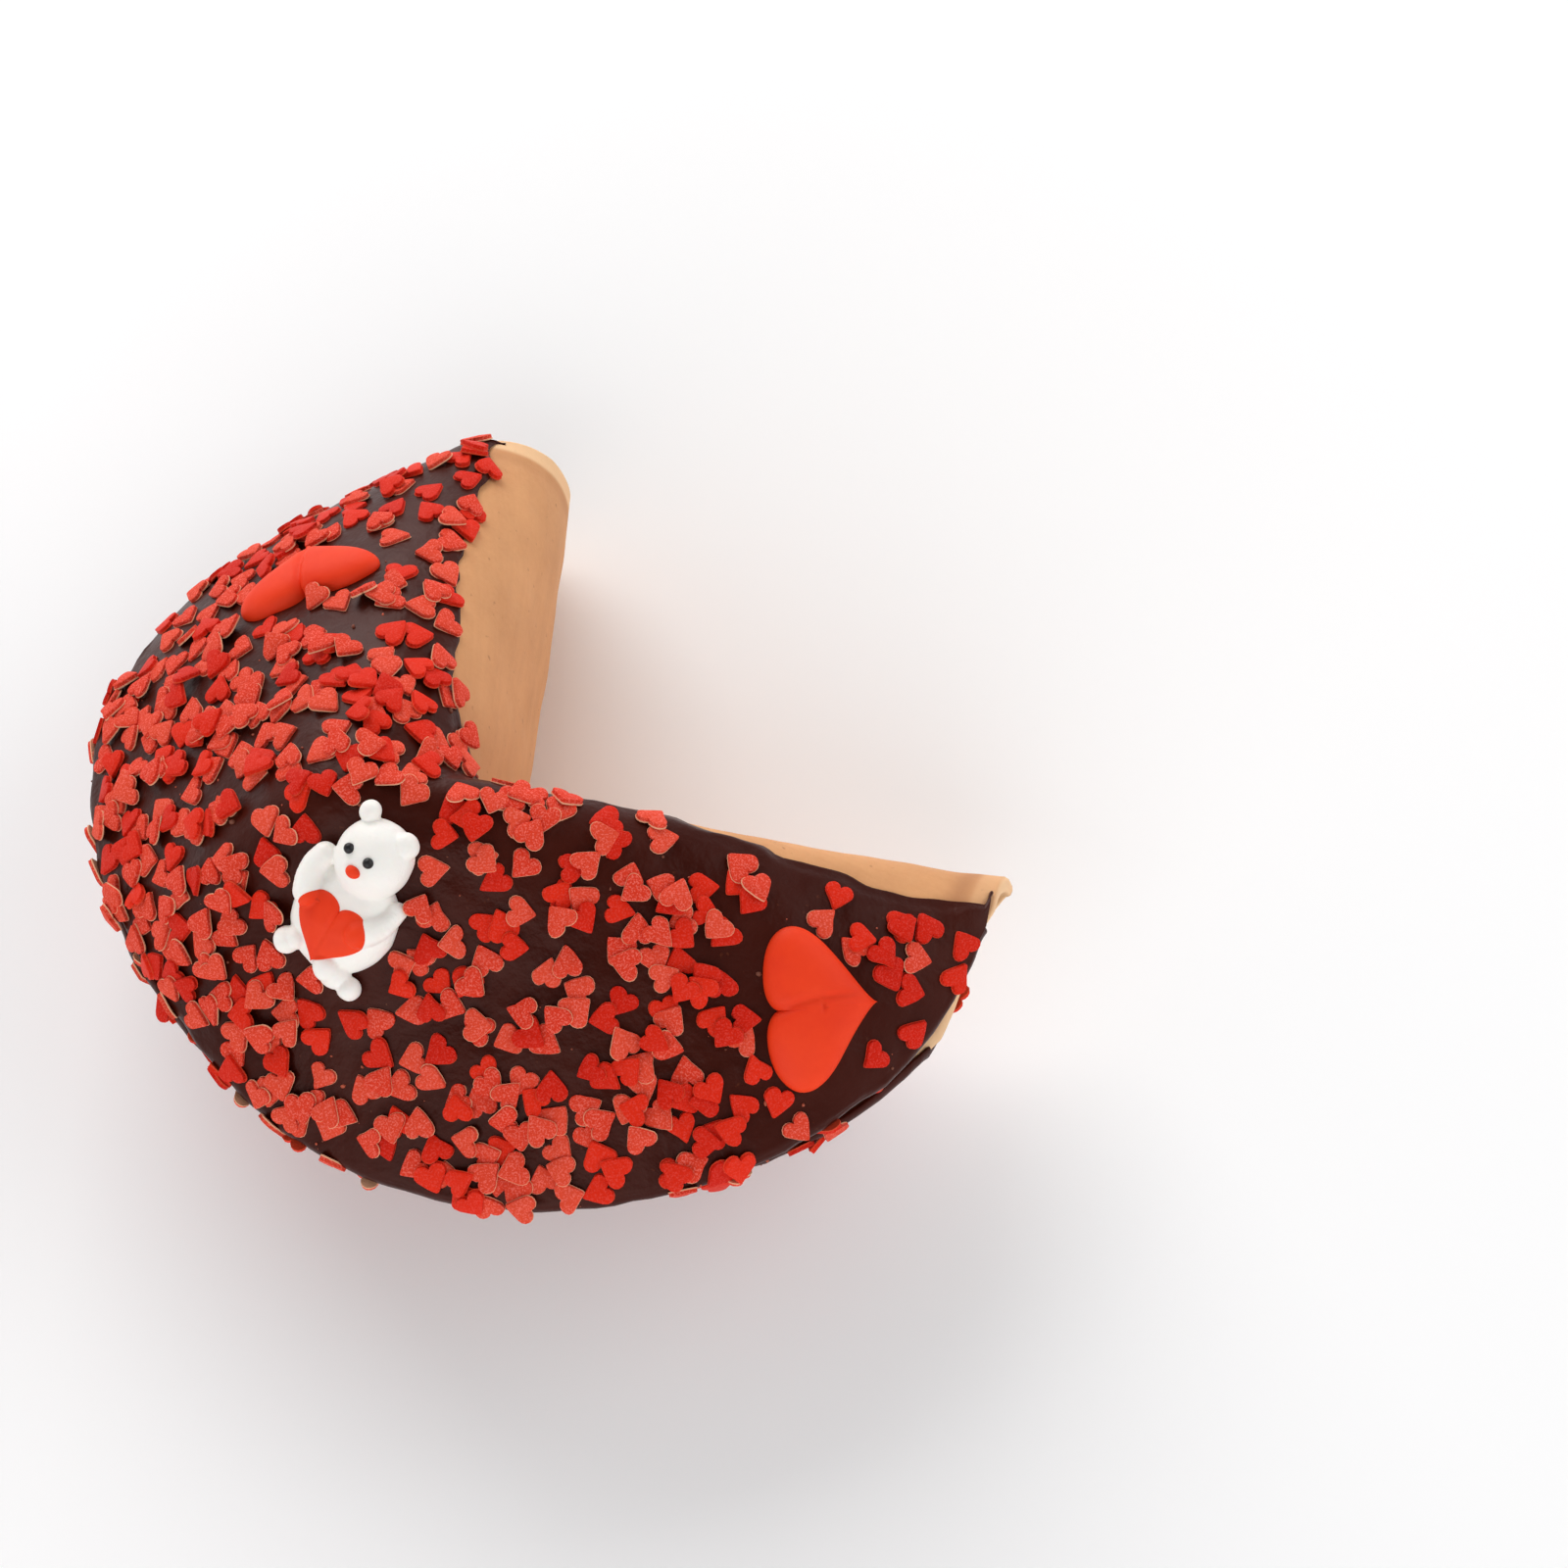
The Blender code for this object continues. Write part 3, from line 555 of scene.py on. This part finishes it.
def make_coat(name, side, node):
    """Chocolate from the bare fold over a layer, round the rim and under it."""
    rows, columns, turns = 190, 84, 13
    x = np.unique(np.clip(crowded(rows, MOST_X), *ENDS[side]))[:, None]
    length = layer_length(x, side)
    start = np.minimum(bare_share(x) * half_face(x), TIP_BARE * length)
    away = np.concatenate([x * 85.0, np.full_like(x, side * 40.0)], axis=1)[:, None, :]
    calm = np.clip((length - start) / 20.0, 0.0, 1.0)
    start = start + calm * (0.55 * waves(away, 9.0, 11) + 0.3 * waves(away, 3.0, 12))
    share = np.linspace(0.0, 1.0, columns)[None, :] ** 1.15
    x = slanted(x, side * (start + (length - start) * share) / length)
    s = side * (start + (layer_length(x, side) - start) * share)
    points, normals = skin(x, s)
    from_edge = np.abs(s) - start
    lumps = 0.15 * waves(points, 12.0, 21) + 0.08 * waves(points, 4.5, 22)
    bead = 0.45 * np.exp(-(((from_edge - 1.6) / 1.3) ** 2)) * np.clip(waves(points, 10.0, 23), -0.4, 1.2)
    shallow = 0.45 * np.exp(-((from_edge / 2.2) ** 2))
    outer = sink(points, normals, shallow - lumps - bead)
    inner = sink(points, normals, COAT_INNER)
    rim_depth = WAFER_DEPTH + 0.5 * WALL
    rim = sink(points[:, -1:], normals[:, -1:], rim_depth)
    normal = normals[:, -1:]
    beyond = unit(side * np.cross(np.gradient(rim[:, 0], axis=0)[:, None], normal))
    thick = 1.0 + 0.10 * waves(rim, 9.0, 24) + 0.06 * waves(rim, 4.0, 25)

    def arc(radii, uneven):
        loops = []
        for step in range(1, turns + 1):
            turn = RIM_TURN[side] * step / turns
            deep, far = radii
            loops.append(rim + uneven[..., None] * (deep * math.cos(turn) * normal + far * math.sin(turn) * beyond))
        return loops

    outer = np.concatenate([outer, *arc(RIM_OUTER, thick)], axis=1)
    inner = np.concatenate([inner, *arc(RIM_INNER, np.ones_like(thick))], axis=1)
    mesh = slab(name, outer, inner, COAT_LIP, np.zeros((*outer.shape[:2], 3)))
    COATS[side] = outer
    shown(name, mesh, "chocolate", node)


# --- Icing -------------------------------------------------------------------------------------------


def spot(at, turn):
    """Origin and axes (right, ahead, out) of a place on the coat, in millimetres."""
    x, s = (np.array([value]) for value in at)
    points, normals = skin(x, s)
    out = normals[0]
    ends = [sink(*skin(x, s + step), 0.0)[0] for step in (SPAN_S, -SPAN_S)]
    to_rim = ends[0] - ends[1]
    to_rim = unit(to_rim - out * (to_rim @ out))
    ahead = math.cos(turn) * to_rim + math.sin(turn) * np.cross(out, to_rim)
    return sink(points, normals, 0.0)[0], np.stack([np.cross(ahead, out), ahead, out])


def heart_edge(angle):
    """Outline of a heart that is one wide and one long, with its point at -ahead."""
    along = sum(wave * np.cos((turns + 1) * angle) for turns, wave in enumerate(HEART_WAVES))
    return 0.5 * np.sin(angle) ** 3, (along - HEART_MIDDLE) / HEART_SPAN


def heart_grid(rings, spokes, power):
    """Points of a heart that is one wide and one long, as (across, along, height) rings from its middle."""
    angle = 2.0 * math.pi * np.arange(spokes) / spokes
    edge_across, edge_along = heart_edge(angle)
    share = np.sin(0.5 * math.pi * (np.arange(rings) + 1.0) / rings)[:, None]
    rise = np.sqrt(np.maximum(0.0, 1.0 - share**power)) + 0.0 * angle[None, :]
    return np.stack([edge_across * share, edge_along * share, rise], axis=-1)


def fan_faces(rings, spokes, base=False):
    """Faces of a point and the rings round it, and of a base under the last ring."""
    faces = []
    for place in range(spokes):
        following = (place + 1) % spokes
        faces.append((0, 1 + place, 1 + following))
        for ring in range(rings - 1):
            here, there = 1 + ring * spokes, 1 + (ring + 1) * spokes
            faces.append((here + place, there + place, there + following, here + following))
    if base:
        last = 1 + (rings - 1) * spokes
        faces.append(tuple(last + place for place in range(spokes)))
    return faces


def icing_heart(name, origin, axes, size, under, drape, sides, node, seed, crease_bend=0.0):
    """Domed heart with a crease, laid over what is under it by a share of its relief."""
    width, length, height = size
    rings, spokes = 26, 112
    grid = heart_grid(rings, spokes, 2.8)
    across, along = grid[..., 0], grid[..., 1]
    bend = across - crease_bend * (0.25 - (along + 0.1) ** 2)
    crease = 0.20 * np.exp(-((bend / 0.030) ** 2)) * ease((along + 0.52) / 0.30)
    rise = height * (grid[..., 2] ** 0.9) * (1.0 - crease)
    flat = np.stack([across * width, along * length], axis=-1).reshape(-1, 2)
    flat = np.concatenate([[[0.0, 0.0]], flat])
    tops = np.concatenate([[height * 0.82], rise.ravel()])
    flat = flat * (1.0 + 0.012 * waves(flat, 8.0, seed)[:, None])
    tops = tops + 0.07 * waves(flat, 7.0, seed + 1) * np.clip(tops, 0.0, 1.0)
    base = []
    for right, ahead in flat:
        start = origin + right * axes[0] + ahead * axes[1] + 20.0 * axes[2]
        hit = under.ray_cast(Vector(start * MM), Vector(-axes[2]))[3]
        base.append(20.0 - hit / MM if hit else 0.0)
    base = drape * np.array(base)
    points = origin + flat @ axes[:2] + (base + tops)[:, None] * axes[2]
    skirts = []
    for drop, spread in sides:
        edge = flat[-spokes:] * spread
        skirts.append(origin + edge @ axes[:2] + (base[-spokes:] + drop)[:, None] * axes[2])
    points = np.concatenate([points, *skirts])
    mesh = mesh_from(name, points, fan_faces(rings + len(sides), spokes, base=True))
    shown(name, mesh, "heart_icing", node)
    return points, origin, axes


def tree_of(grids):
    """Ray-cast tree of grids of points, in metres."""
    points, faces = [], []
    for grid in grids:
        rows, columns, _ = grid.shape
        corners = (np.arange(rows - 1)[:, None] * columns + np.arange(columns - 1)).reshape(-1, 1)
        faces += (corners + np.array([[0, 1, columns + 1, columns]]) + len(points)).tolist()
        points += (grid.reshape(-1, 3) * MM).tolist()
    return BVHTree.FromPolygons(points, faces)


def add_ball(shape, place, radii, detail=4):
    made = bmesh.ops.create_icosphere(shape, subdivisions=detail, radius=1.0)["verts"]
    bmesh.ops.scale(shape, vec=radii, verts=made)
    bmesh.ops.translate(shape, vec=place, verts=made)


def add_limb(shape, start, end, start_radius, end_radius):
    """Balls strung closely between two places, swelling from one radius to the other."""
    for step in range(9):
        share = step / 8.0
        place = Vector(start).lerp(Vector(end), share)
        place.x += (0.9 if start[0] > 0.0 else -0.9) * math.sin(math.pi * share)
        radius = start_radius + (end_radius - start_radius) * ease(share)
        add_ball(shape, place, (radius,) * 3, 3)


def melted(name, shape, voxel, smooth):
    """The shapes run together into one skin, in millimetres."""
    mesh = bpy.data.meshes.new(name)
    shape.to_mesh(mesh)
    shape.free()
    obj = bpy.data.objects.new(name, mesh)
    bpy.context.scene.collection.objects.link(obj)
    change = obj.modifiers.new("melt", "REMESH")
    change.mode = "VOXEL"
    change.voxel_size = voxel
    change = obj.modifiers.new("smooth", "SMOOTH")
    change.iterations = smooth
    change.factor = 0.5
    graph = bpy.context.evaluated_depsgraph_get()
    graph.update()
    done = bpy.data.meshes.new_from_object(obj.evaluated_get(graph))
    points = np.empty(len(done.vertices) * 3, np.float32)
    done.vertices.foreach_get("co", points)
    faces = [tuple(face.vertices) for face in done.polygons]
    bpy.data.objects.remove(obj)
    return points.reshape(-1, 3).astype(float), faces


def make_bear():
    origin, axes = spot(BEAR_AT, BEAR_TURN)
    shape = bmesh.new()
    add_ball(shape, *BEAR_BODY)
    add_ball(shape, *BEAR_HEAD)
    for blob in BEAR_BLOBS:
        add_ball(shape, *blob)
    for start, end, start_radius, end_radius in BEAR_ARMS:
        add_limb(shape, start, end, start_radius, end_radius)
    points, faces = melted("bear_icing", shape, 0.22, 5)
    normals_seed = 0.10 * waves(points, 5.0, 31) + 0.05 * waves(points, 2.2, 32)
    centre = np.array(BEAR_BODY[0])
    points = points + unit(points - centre) * normals_seed[:, None]
    placed = origin + points @ axes
    shown("bear_icing", mesh_from("bear_icing", placed, faces), "white_icing", "bear")
    under = BVHTree.FromPolygons((placed * MM).tolist(), faces)
    right, ahead, top, size = BELLY_HEART
    heart_at = origin + right * axes[0] + ahead * axes[1]
    icing_heart(
        "bear_heart_icing",
        heart_at,
        axes,
        (size, size * 0.95, 0.9),
        under,
        1.0,
        ((-0.3, 0.99),),
        "bear_heart",
        41,
    )
    for name, slot, place, radii in BEAR_DOTS:
        start = origin + np.array(place) @ axes + 6.0 * axes[2]
        hit = under.ray_cast(Vector(start * MM), Vector(-axes[2]))[0]
        shape = bmesh.new()
        add_ball(shape, (0.0, 0.0, 0.0), radii, 4)
        mesh = bpy.data.meshes.new(name + "_icing")
        turn = Matrix([*map(tuple, (axes.T * MM))]).to_4x4()
        bmesh.ops.transform(shape, matrix=Matrix.Translation(hit) @ turn, verts=shape.verts)
        shape.to_mesh(mesh)
        shape.free()
        shown(name + "_icing", mesh, slot, name)
    return placed, origin, axes


# --- Toppings ----------------------------------------------------------------------------------------


LOBE_AT, LOBE_RADIUS, LOBE_STEPS = 0.235, 0.265, 7
HEART_SPOKES = 2 * LOBE_STEPS + 6
HEART_RINGS = ((0.88, 1.0), (0.94, 0.93), (0.95, 0.32), (1.0, 0.22), (0.985, 0.0))  # spread and height


def sprinkle_outline():
    """Outline of a heart with straight sides that is one wide and one long, from its cleft clockwise."""
    drop = math.hypot(LOBE_AT, 0.5 + LOBE_AT)
    last = math.acos(LOBE_RADIUS / drop) - math.atan2(0.5 + LOBE_AT, -LOBE_AT)
    cleft = LOBE_AT + math.sqrt(LOBE_RADIUS**2 - LOBE_AT**2)
    turns = np.linspace(math.radians(128.0), last, LOBE_STEPS)
    lobe = LOBE_AT + LOBE_RADIUS * np.stack([np.cos(turns), np.sin(turns)], axis=-1)
    side = 0.5 * (lobe[-1] + (0.0, -0.5))
    right = np.concatenate([lobe, [side, (0.065, -0.40)]])
    return np.concatenate([[[0.0, cleft]], right, [[0.0, -0.445]], right[::-1] * (-1.0, 1.0)])


def sprinkle_shape():
    """Points of a small thick heart one wide and one high, its faces, and how far each point is an edge."""
    edge = sprinkle_outline()
    points = [np.array([[0.0, 0.02, 1.0]])]
    tones = [np.zeros(1)]
    for spread, height in HEART_RINGS:
        points.append(np.concatenate([edge * spread, np.full((HEART_SPOKES, 1), height)], axis=1))
        tones.append(np.full(HEART_SPOKES, 0.0 if height > 0.25 else 1.0))
    faces = fan_faces(len(HEART_RINGS), HEART_SPOKES, base=True)
    return np.concatenate(points), faces, np.concatenate(tones)


def inside(points, outline):
    """Whether flat points are within a closed outline."""
    ahead = np.roll(outline, -1, axis=0)
    above = outline[None, :, 1] > points[:, None, 1]
    above_ahead = ahead[None, :, 1] > points[:, None, 1]
    run = ahead[:, 1] - outline[:, 1]
    run = np.where(np.abs(run) < 1e-9, 1e-9, run)
    cross = outline[:, 0] + (points[:, None, 1] - outline[:, 1]) / run * (ahead[:, 0] - outline[:, 0])
    return ((above != above_ahead) & (points[:, None, 0] < cross)).sum(axis=1) % 2 == 1


class Ground:
    """Points that a topping can rest on, kept by cells."""

    CELL = 4.0

    def __init__(self):
        self.cells = {}

    def add(self, points):
        for key, point in zip(map(tuple, np.floor(points / self.CELL).astype(int)), points):
            self.cells.setdefault(key, []).append(point)

    def near(self, place):
        found = []
        key = np.floor(place / self.CELL).astype(int)
        for across in (-1, 0, 1):
            for along in (-1, 0, 1):
                for up in (-1, 0, 1):
                    found += self.cells.get((key[0] + across, key[1] + along, key[2] + up), [])
        return np.array(found)


def resting_plane(flat, heights):
    """Slopes and height of a plane that lies on the highest points and is over all of them."""
    plane = np.array([heights.max(), 0.0, 0.0])
    terms = np.concatenate([np.ones((len(flat), 1)), flat], axis=1)
    for softness in (0.6, 0.35, 0.2, 0.12, 0.08):
        weight = np.exp(np.clip((heights - terms @ plane) / softness, -30.0, 30.0))
        weight = weight / weight.max() + 1e-4
        pull = np.diag([0.0, 0.15, 0.15])
        plane = np.linalg.solve(terms.T @ (terms * weight[:, None]) + pull, terms.T @ (weight * heights))
    plane[0] += (heights - terms @ plane).max()
    return plane


def surface_samples(grid, count, draw):
    """Random places spread evenly over a grid, with their outward normals."""
    first, second = grid[:-1, :-1].reshape(-1, 3), grid[1:, :-1].reshape(-1, 3)
    third, fourth = grid[1:, 1:].reshape(-1, 3), grid[:-1, 1:].reshape(-1, 3)
    cross = np.cross(third - first, fourth - second)
    area = 0.5 * np.linalg.norm(cross, axis=1)
    chosen = draw.choice(len(area), count, p=area / area.sum())
    along, across = draw.random((2, count, 1))
    low = first[chosen] * (1.0 - along) + second[chosen] * along
    high = fourth[chosen] * (1.0 - along) + third[chosen] * along
    return low * (1.0 - across) + high * across, unit(cross[chosen]), area.sum()


def sprinkle_places(draw):
    """Candidate places and normals on both coats."""
    places, normals = [], []
    for side in (1, -1):
        grid = COATS[side]
        found, out, area = surface_samples(grid, 10, draw)
        count = int(area * SPRINKLES_PER_MM2)
        found, out, _ = surface_samples(grid, count * 3, draw)
        if (out * (found - grid.mean(axis=(0, 1)))).sum() < 0.0:
            out = -out
        kept = []
        for index in range(0, len(found), 3):
            trio = found[index : index + 3]
            if kept:
                apart = np.linalg.norm(trio[:, None] - found[kept][None, -400:], axis=2).min(axis=1)
                wanted = np.where(apart > 2.2, apart, 0.0) * draw.uniform(0.3, 1.0, 3)
                kept.append(index + int(wanted.argmax()))
            else:
                kept.append(index)
        places.append(found[kept])
        normals.append(out[kept])
    return np.concatenate(places), np.concatenate(normals)


class Footprint:
    """What a piece of icing covers, seen along its own outward axis."""

    def __init__(self, points, origin, axes):
        self.origin, self.axes = origin, axes
        self.tree = KDTree(len(points))
        for index, (right, ahead) in enumerate((points - origin) @ axes[:2].T):
            self.tree.insert((right, ahead, 0.0), index)
        self.tree.balance()

    def away(self, place):
        right, ahead, out = self.axes @ (place - self.origin)
        return self.tree.find((right, ahead, 0.0))[2] if abs(out) < 15.0 else 99.0


def scatter_hearts(icing):
    """Heart sprinkles that rest on the coat and on each other, as two joined pieces of two colours."""
    draw = np.random.default_rng(8)
    ground = Ground()
    for grid in COATS.values():
        ground.add(grid.reshape(-1, 3))
    for points, _, _ in icing:
        ground.add(points)
    footprints = [Footprint(*piece) for piece in icing]
    edges = [grid[grid.shape[0] * 62 // 100 :, 0] for grid in COATS.values()]
    bare_edge = KDTree(sum(map(len, edges)))
    for index, point in enumerate(np.concatenate(edges)):
        bare_edge.insert(point, index)
    bare_edge.balance()
    shape, faces, edge_tone = sprinkle_shape()
    made = {"salmon": ([], [], []), "red": ([], [], [])}
    places, normals = sprinkle_places(draw)
    order = draw.permutation(len(places))
    for place, out in zip(places[order], normals[order]):
        draws = draw.random(12)
        if min(footprint.away(place) for footprint in footprints) < 1.3 + 1.4 * draws[0]:
            continue
        if draw.random() > 0.46 + 0.54 * ease((out[2] - 0.35) / 0.5):
            continue
        if bare_edge.find(place)[2] < BARE_OF_SPRINKLES:
            continue
        tilt = 0.10 * (draws[1:4] - 0.5)
        out = unit(out + tilt)
        right = unit(np.cross(out, unit(draws[4:7] - 0.5)))
        ahead = np.cross(out, right)
        width = SPRINKLE_WIDTH * (0.90 + 0.17 * draws[7])
        length = SPRINKLE_LENGTH * (0.90 + 0.17 * draws[8])
        height = SPRINKLE_HEIGHT * (0.85 + 0.25 * draws[9])
        outline = shape[-HEART_SPOKES:, :2] / HEART_RINGS[-1][0] * (width, length)
        near = ground.near(place)
        away = near - place
        flat = np.stack([away @ right, away @ ahead], axis=-1)
        heights = away @ out
        under = (np.abs(heights) < 4.5) & inside(flat, outline)
        if under.sum() < 3:
            continue
        plane = resting_plane(flat[under], heights[under])
        if plane[0] > 2.6 or np.hypot(plane[1], plane[2]) > 0.6:
            continue
        up = unit(out - plane[1] * right - plane[2] * ahead)
        first = unit(right - up * (right @ up))
        axes = np.stack([first, np.cross(up, first), up])
        base = place + out * (plane[0] - SPRINKLE_SUNK)
        local = shape * (width, length, height)
        local[:, 2] += 0.016 * (draws[10] - 0.3) * local[:, 0] ** 2
        local = local + 0.08 * waves(local[:, :2] + 50.0 * draws[11], 2.8, 51)[:, None] * (1.0, 1.0, 0.0)
        points = base + local @ axes
        if points[:, 2].min() < 0.05:
            continue
        ground.add(points[: 1 + 3 * HEART_SPOKES])
        redness = 0.36 + 0.40 * ease((place[0] - 5.0) / 60.0) + 0.3 * ease((place[1] - 35.0) / 30.0)
        kind = "red" if draw.random() < redness else "salmon"
        points_of, faces_of, tones_of = made[kind]
        offset = sum(map(len, points_of))
        points_of.append(points)
        faces_of.extend(tuple(place + offset for place in face) for face in faces)
        lightness = np.full_like(edge_tone, draw.random())
        tones_of.append(np.stack([lightness, 0.0 * edge_tone, edge_tone], axis=-1))
    for kind, (points, faces, tones) in made.items():
        name = f"heart_sprinkles_{kind}"
        mesh = mesh_from(name, np.concatenate(points), faces, np.concatenate(tones))
        obj = shown(name, mesh, kind)
        print(name, len(points), "hearts", len(faces), "faces")
        for face in obj.data.polygons:
            face.use_smooth = len(face.vertices) == 3
    return ground


def scatter_crumbs():
    """Small broken bits stuck to the chocolate."""
    draw = np.random.default_rng(15)
    points_of, faces_of, tones_of = [], [], []
    shape = bmesh.new()
    bmesh.ops.create_icosphere(shape, subdivisions=1, radius=1.0)
    ball = np.array([vert.co for vert in shape.verts])
    ball_faces = [tuple(vert.index for vert in face.verts) for face in shape.faces]
    shape.free()
    offset = 0
    for side in (1, -1):
        places, _, _ = surface_samples(COATS[side], 170, draw)
        for place in places:
            size = 0.16 + 0.5 * draw.random() ** 3
            turned = ball @ np.linalg.qr(draw.normal(size=(3, 3)))[0]
            lump = place + turned * size * draw.uniform(0.6, 1.3, 3) * draw.uniform(0.8, 1.2, (len(ball), 1))
            lightness = draw.random()
            if lump[:, 2].min() < 0.02:
                continue
            points_of.append(lump)
            faces_of.extend(tuple(corner + offset for corner in face) for face in ball_faces)
            tones_of.append(np.full((len(ball), 3), lightness))
            offset += len(ball)
    mesh = mesh_from("crumbs", np.concatenate(points_of), faces_of, np.concatenate(tones_of))
    shown("crumbs", mesh, "crumbs")


# --- Stage -------------------------------------------------------------------------------------------


def make_stage():
    floor_mesh = bpy.data.meshes.new("floor")
    half = 6.0
    corners = [(-half, -half, 0.0), (half, -half, 0.0), (half, half, 0.0), (-half, half, 0.0)]
    floor_mesh.from_pydata(corners, [], [(0, 1, 2, 3)])
    floor = bpy.data.objects.new("floor", floor_mesh)
    bpy.context.scene.collection.objects.link(floor)
    make = Nodes("pale_floor")
    floor_mesh.materials.append(make.finish((0.95, 0.95, 0.955, 1.0), 0.8))
    for name, size, energy, place, aim, colour in (
        ("window", 1.5, 27.0, (-0.55, 1.55, 0.95), (0.0, 0.0, 0.03), (1.0, 0.99, 0.98)),
        ("side", 1.6, 9.0, (1.5, 0.3, 0.9), (0.0, 0.0, 0.03), (0.99, 0.99, 1.0)),
        ("front", 1.8, 16.0, (-0.3, -1.5, 0.95), (0.0, 0.0, 0.03), (1.0, 1.0, 1.0)),
    ):
        light = bpy.data.lights.new(name, "AREA")
        light.shape = "SQUARE"
        light.size = size
        light.energy = energy
        light.color = colour
        lamp = bpy.data.objects.new(name, light)
        lamp.location = place
        lamp.rotation_euler = (Vector(aim) - Vector(place)).to_track_quat("-Z", "Y").to_euler()
        bpy.context.scene.collection.objects.link(lamp)
    world = bpy.data.worlds.new("studio")
    world.use_nodes = True
    tree = world.node_tree
    place = tree.nodes.new("ShaderNodeTexCoord").outputs["Generated"]
    up = tree.nodes.new("ShaderNodeSeparateXYZ")
    tree.links.new(place, up.inputs["Vector"])
    sky = tree.nodes.new("ShaderNodeValToRGB")
    sky.color_ramp.elements[0].position, sky.color_ramp.elements[0].color = 0.25, (1.0, 1.0, 1.0, 1.0)
    sky.color_ramp.elements[1].position, sky.color_ramp.elements[1].color = 0.85, (0.22, 0.22, 0.22, 1.0)
    tree.links.new(up.outputs["Z"], sky.inputs["Fac"])
    tree.links.new(sky.outputs["Color"], tree.nodes["Background"].inputs["Color"])
    tree.nodes["Background"].inputs["Strength"].default_value = 0.90
    bpy.context.scene.world = world
    camera = bpy.data.objects.new("camera", bpy.data.cameras.new("camera"))
    camera.data.lens = 109.1
    camera.data.sensor_width = 36.0
    camera.data.clip_end = 50.0
    camera.location = (0.15220, -0.30445, 0.81232)
    camera.rotation_euler = [math.radians(angle) for angle in (21.98, 6.93, 2.79)]
    bpy.context.scene.collection.objects.link(camera)
    bpy.context.scene.camera = camera
    bpy.context.scene.view_settings.view_transform = "Standard"


make_wafer()
make_coat("coat_upper_chocolate", 1, "coat_upper")
make_coat("coat_lower_chocolate", -1, "coat_lower")
UNDER = tree_of([COATS[1]])
SIDES = ((-0.4, 0.99), (-1.6, 0.93))
ICING = [
    icing_heart("right_heart_icing", *spot(RIGHT_HEART_AT, RIGHT_HEART_TURN), RIGHT_HEART, UNDER, 0.9, SIDES, "icing_heart_right", 61, 0.25),
    icing_heart("upper_heart_icing", *spot(UPPER_HEART_AT, UPPER_HEART_TURN), UPPER_HEART, UNDER, 0.6, SIDES, "icing_heart_upper", 71),
    make_bear(),
]
scatter_hearts(ICING)
scatter_crumbs()
make_stage()
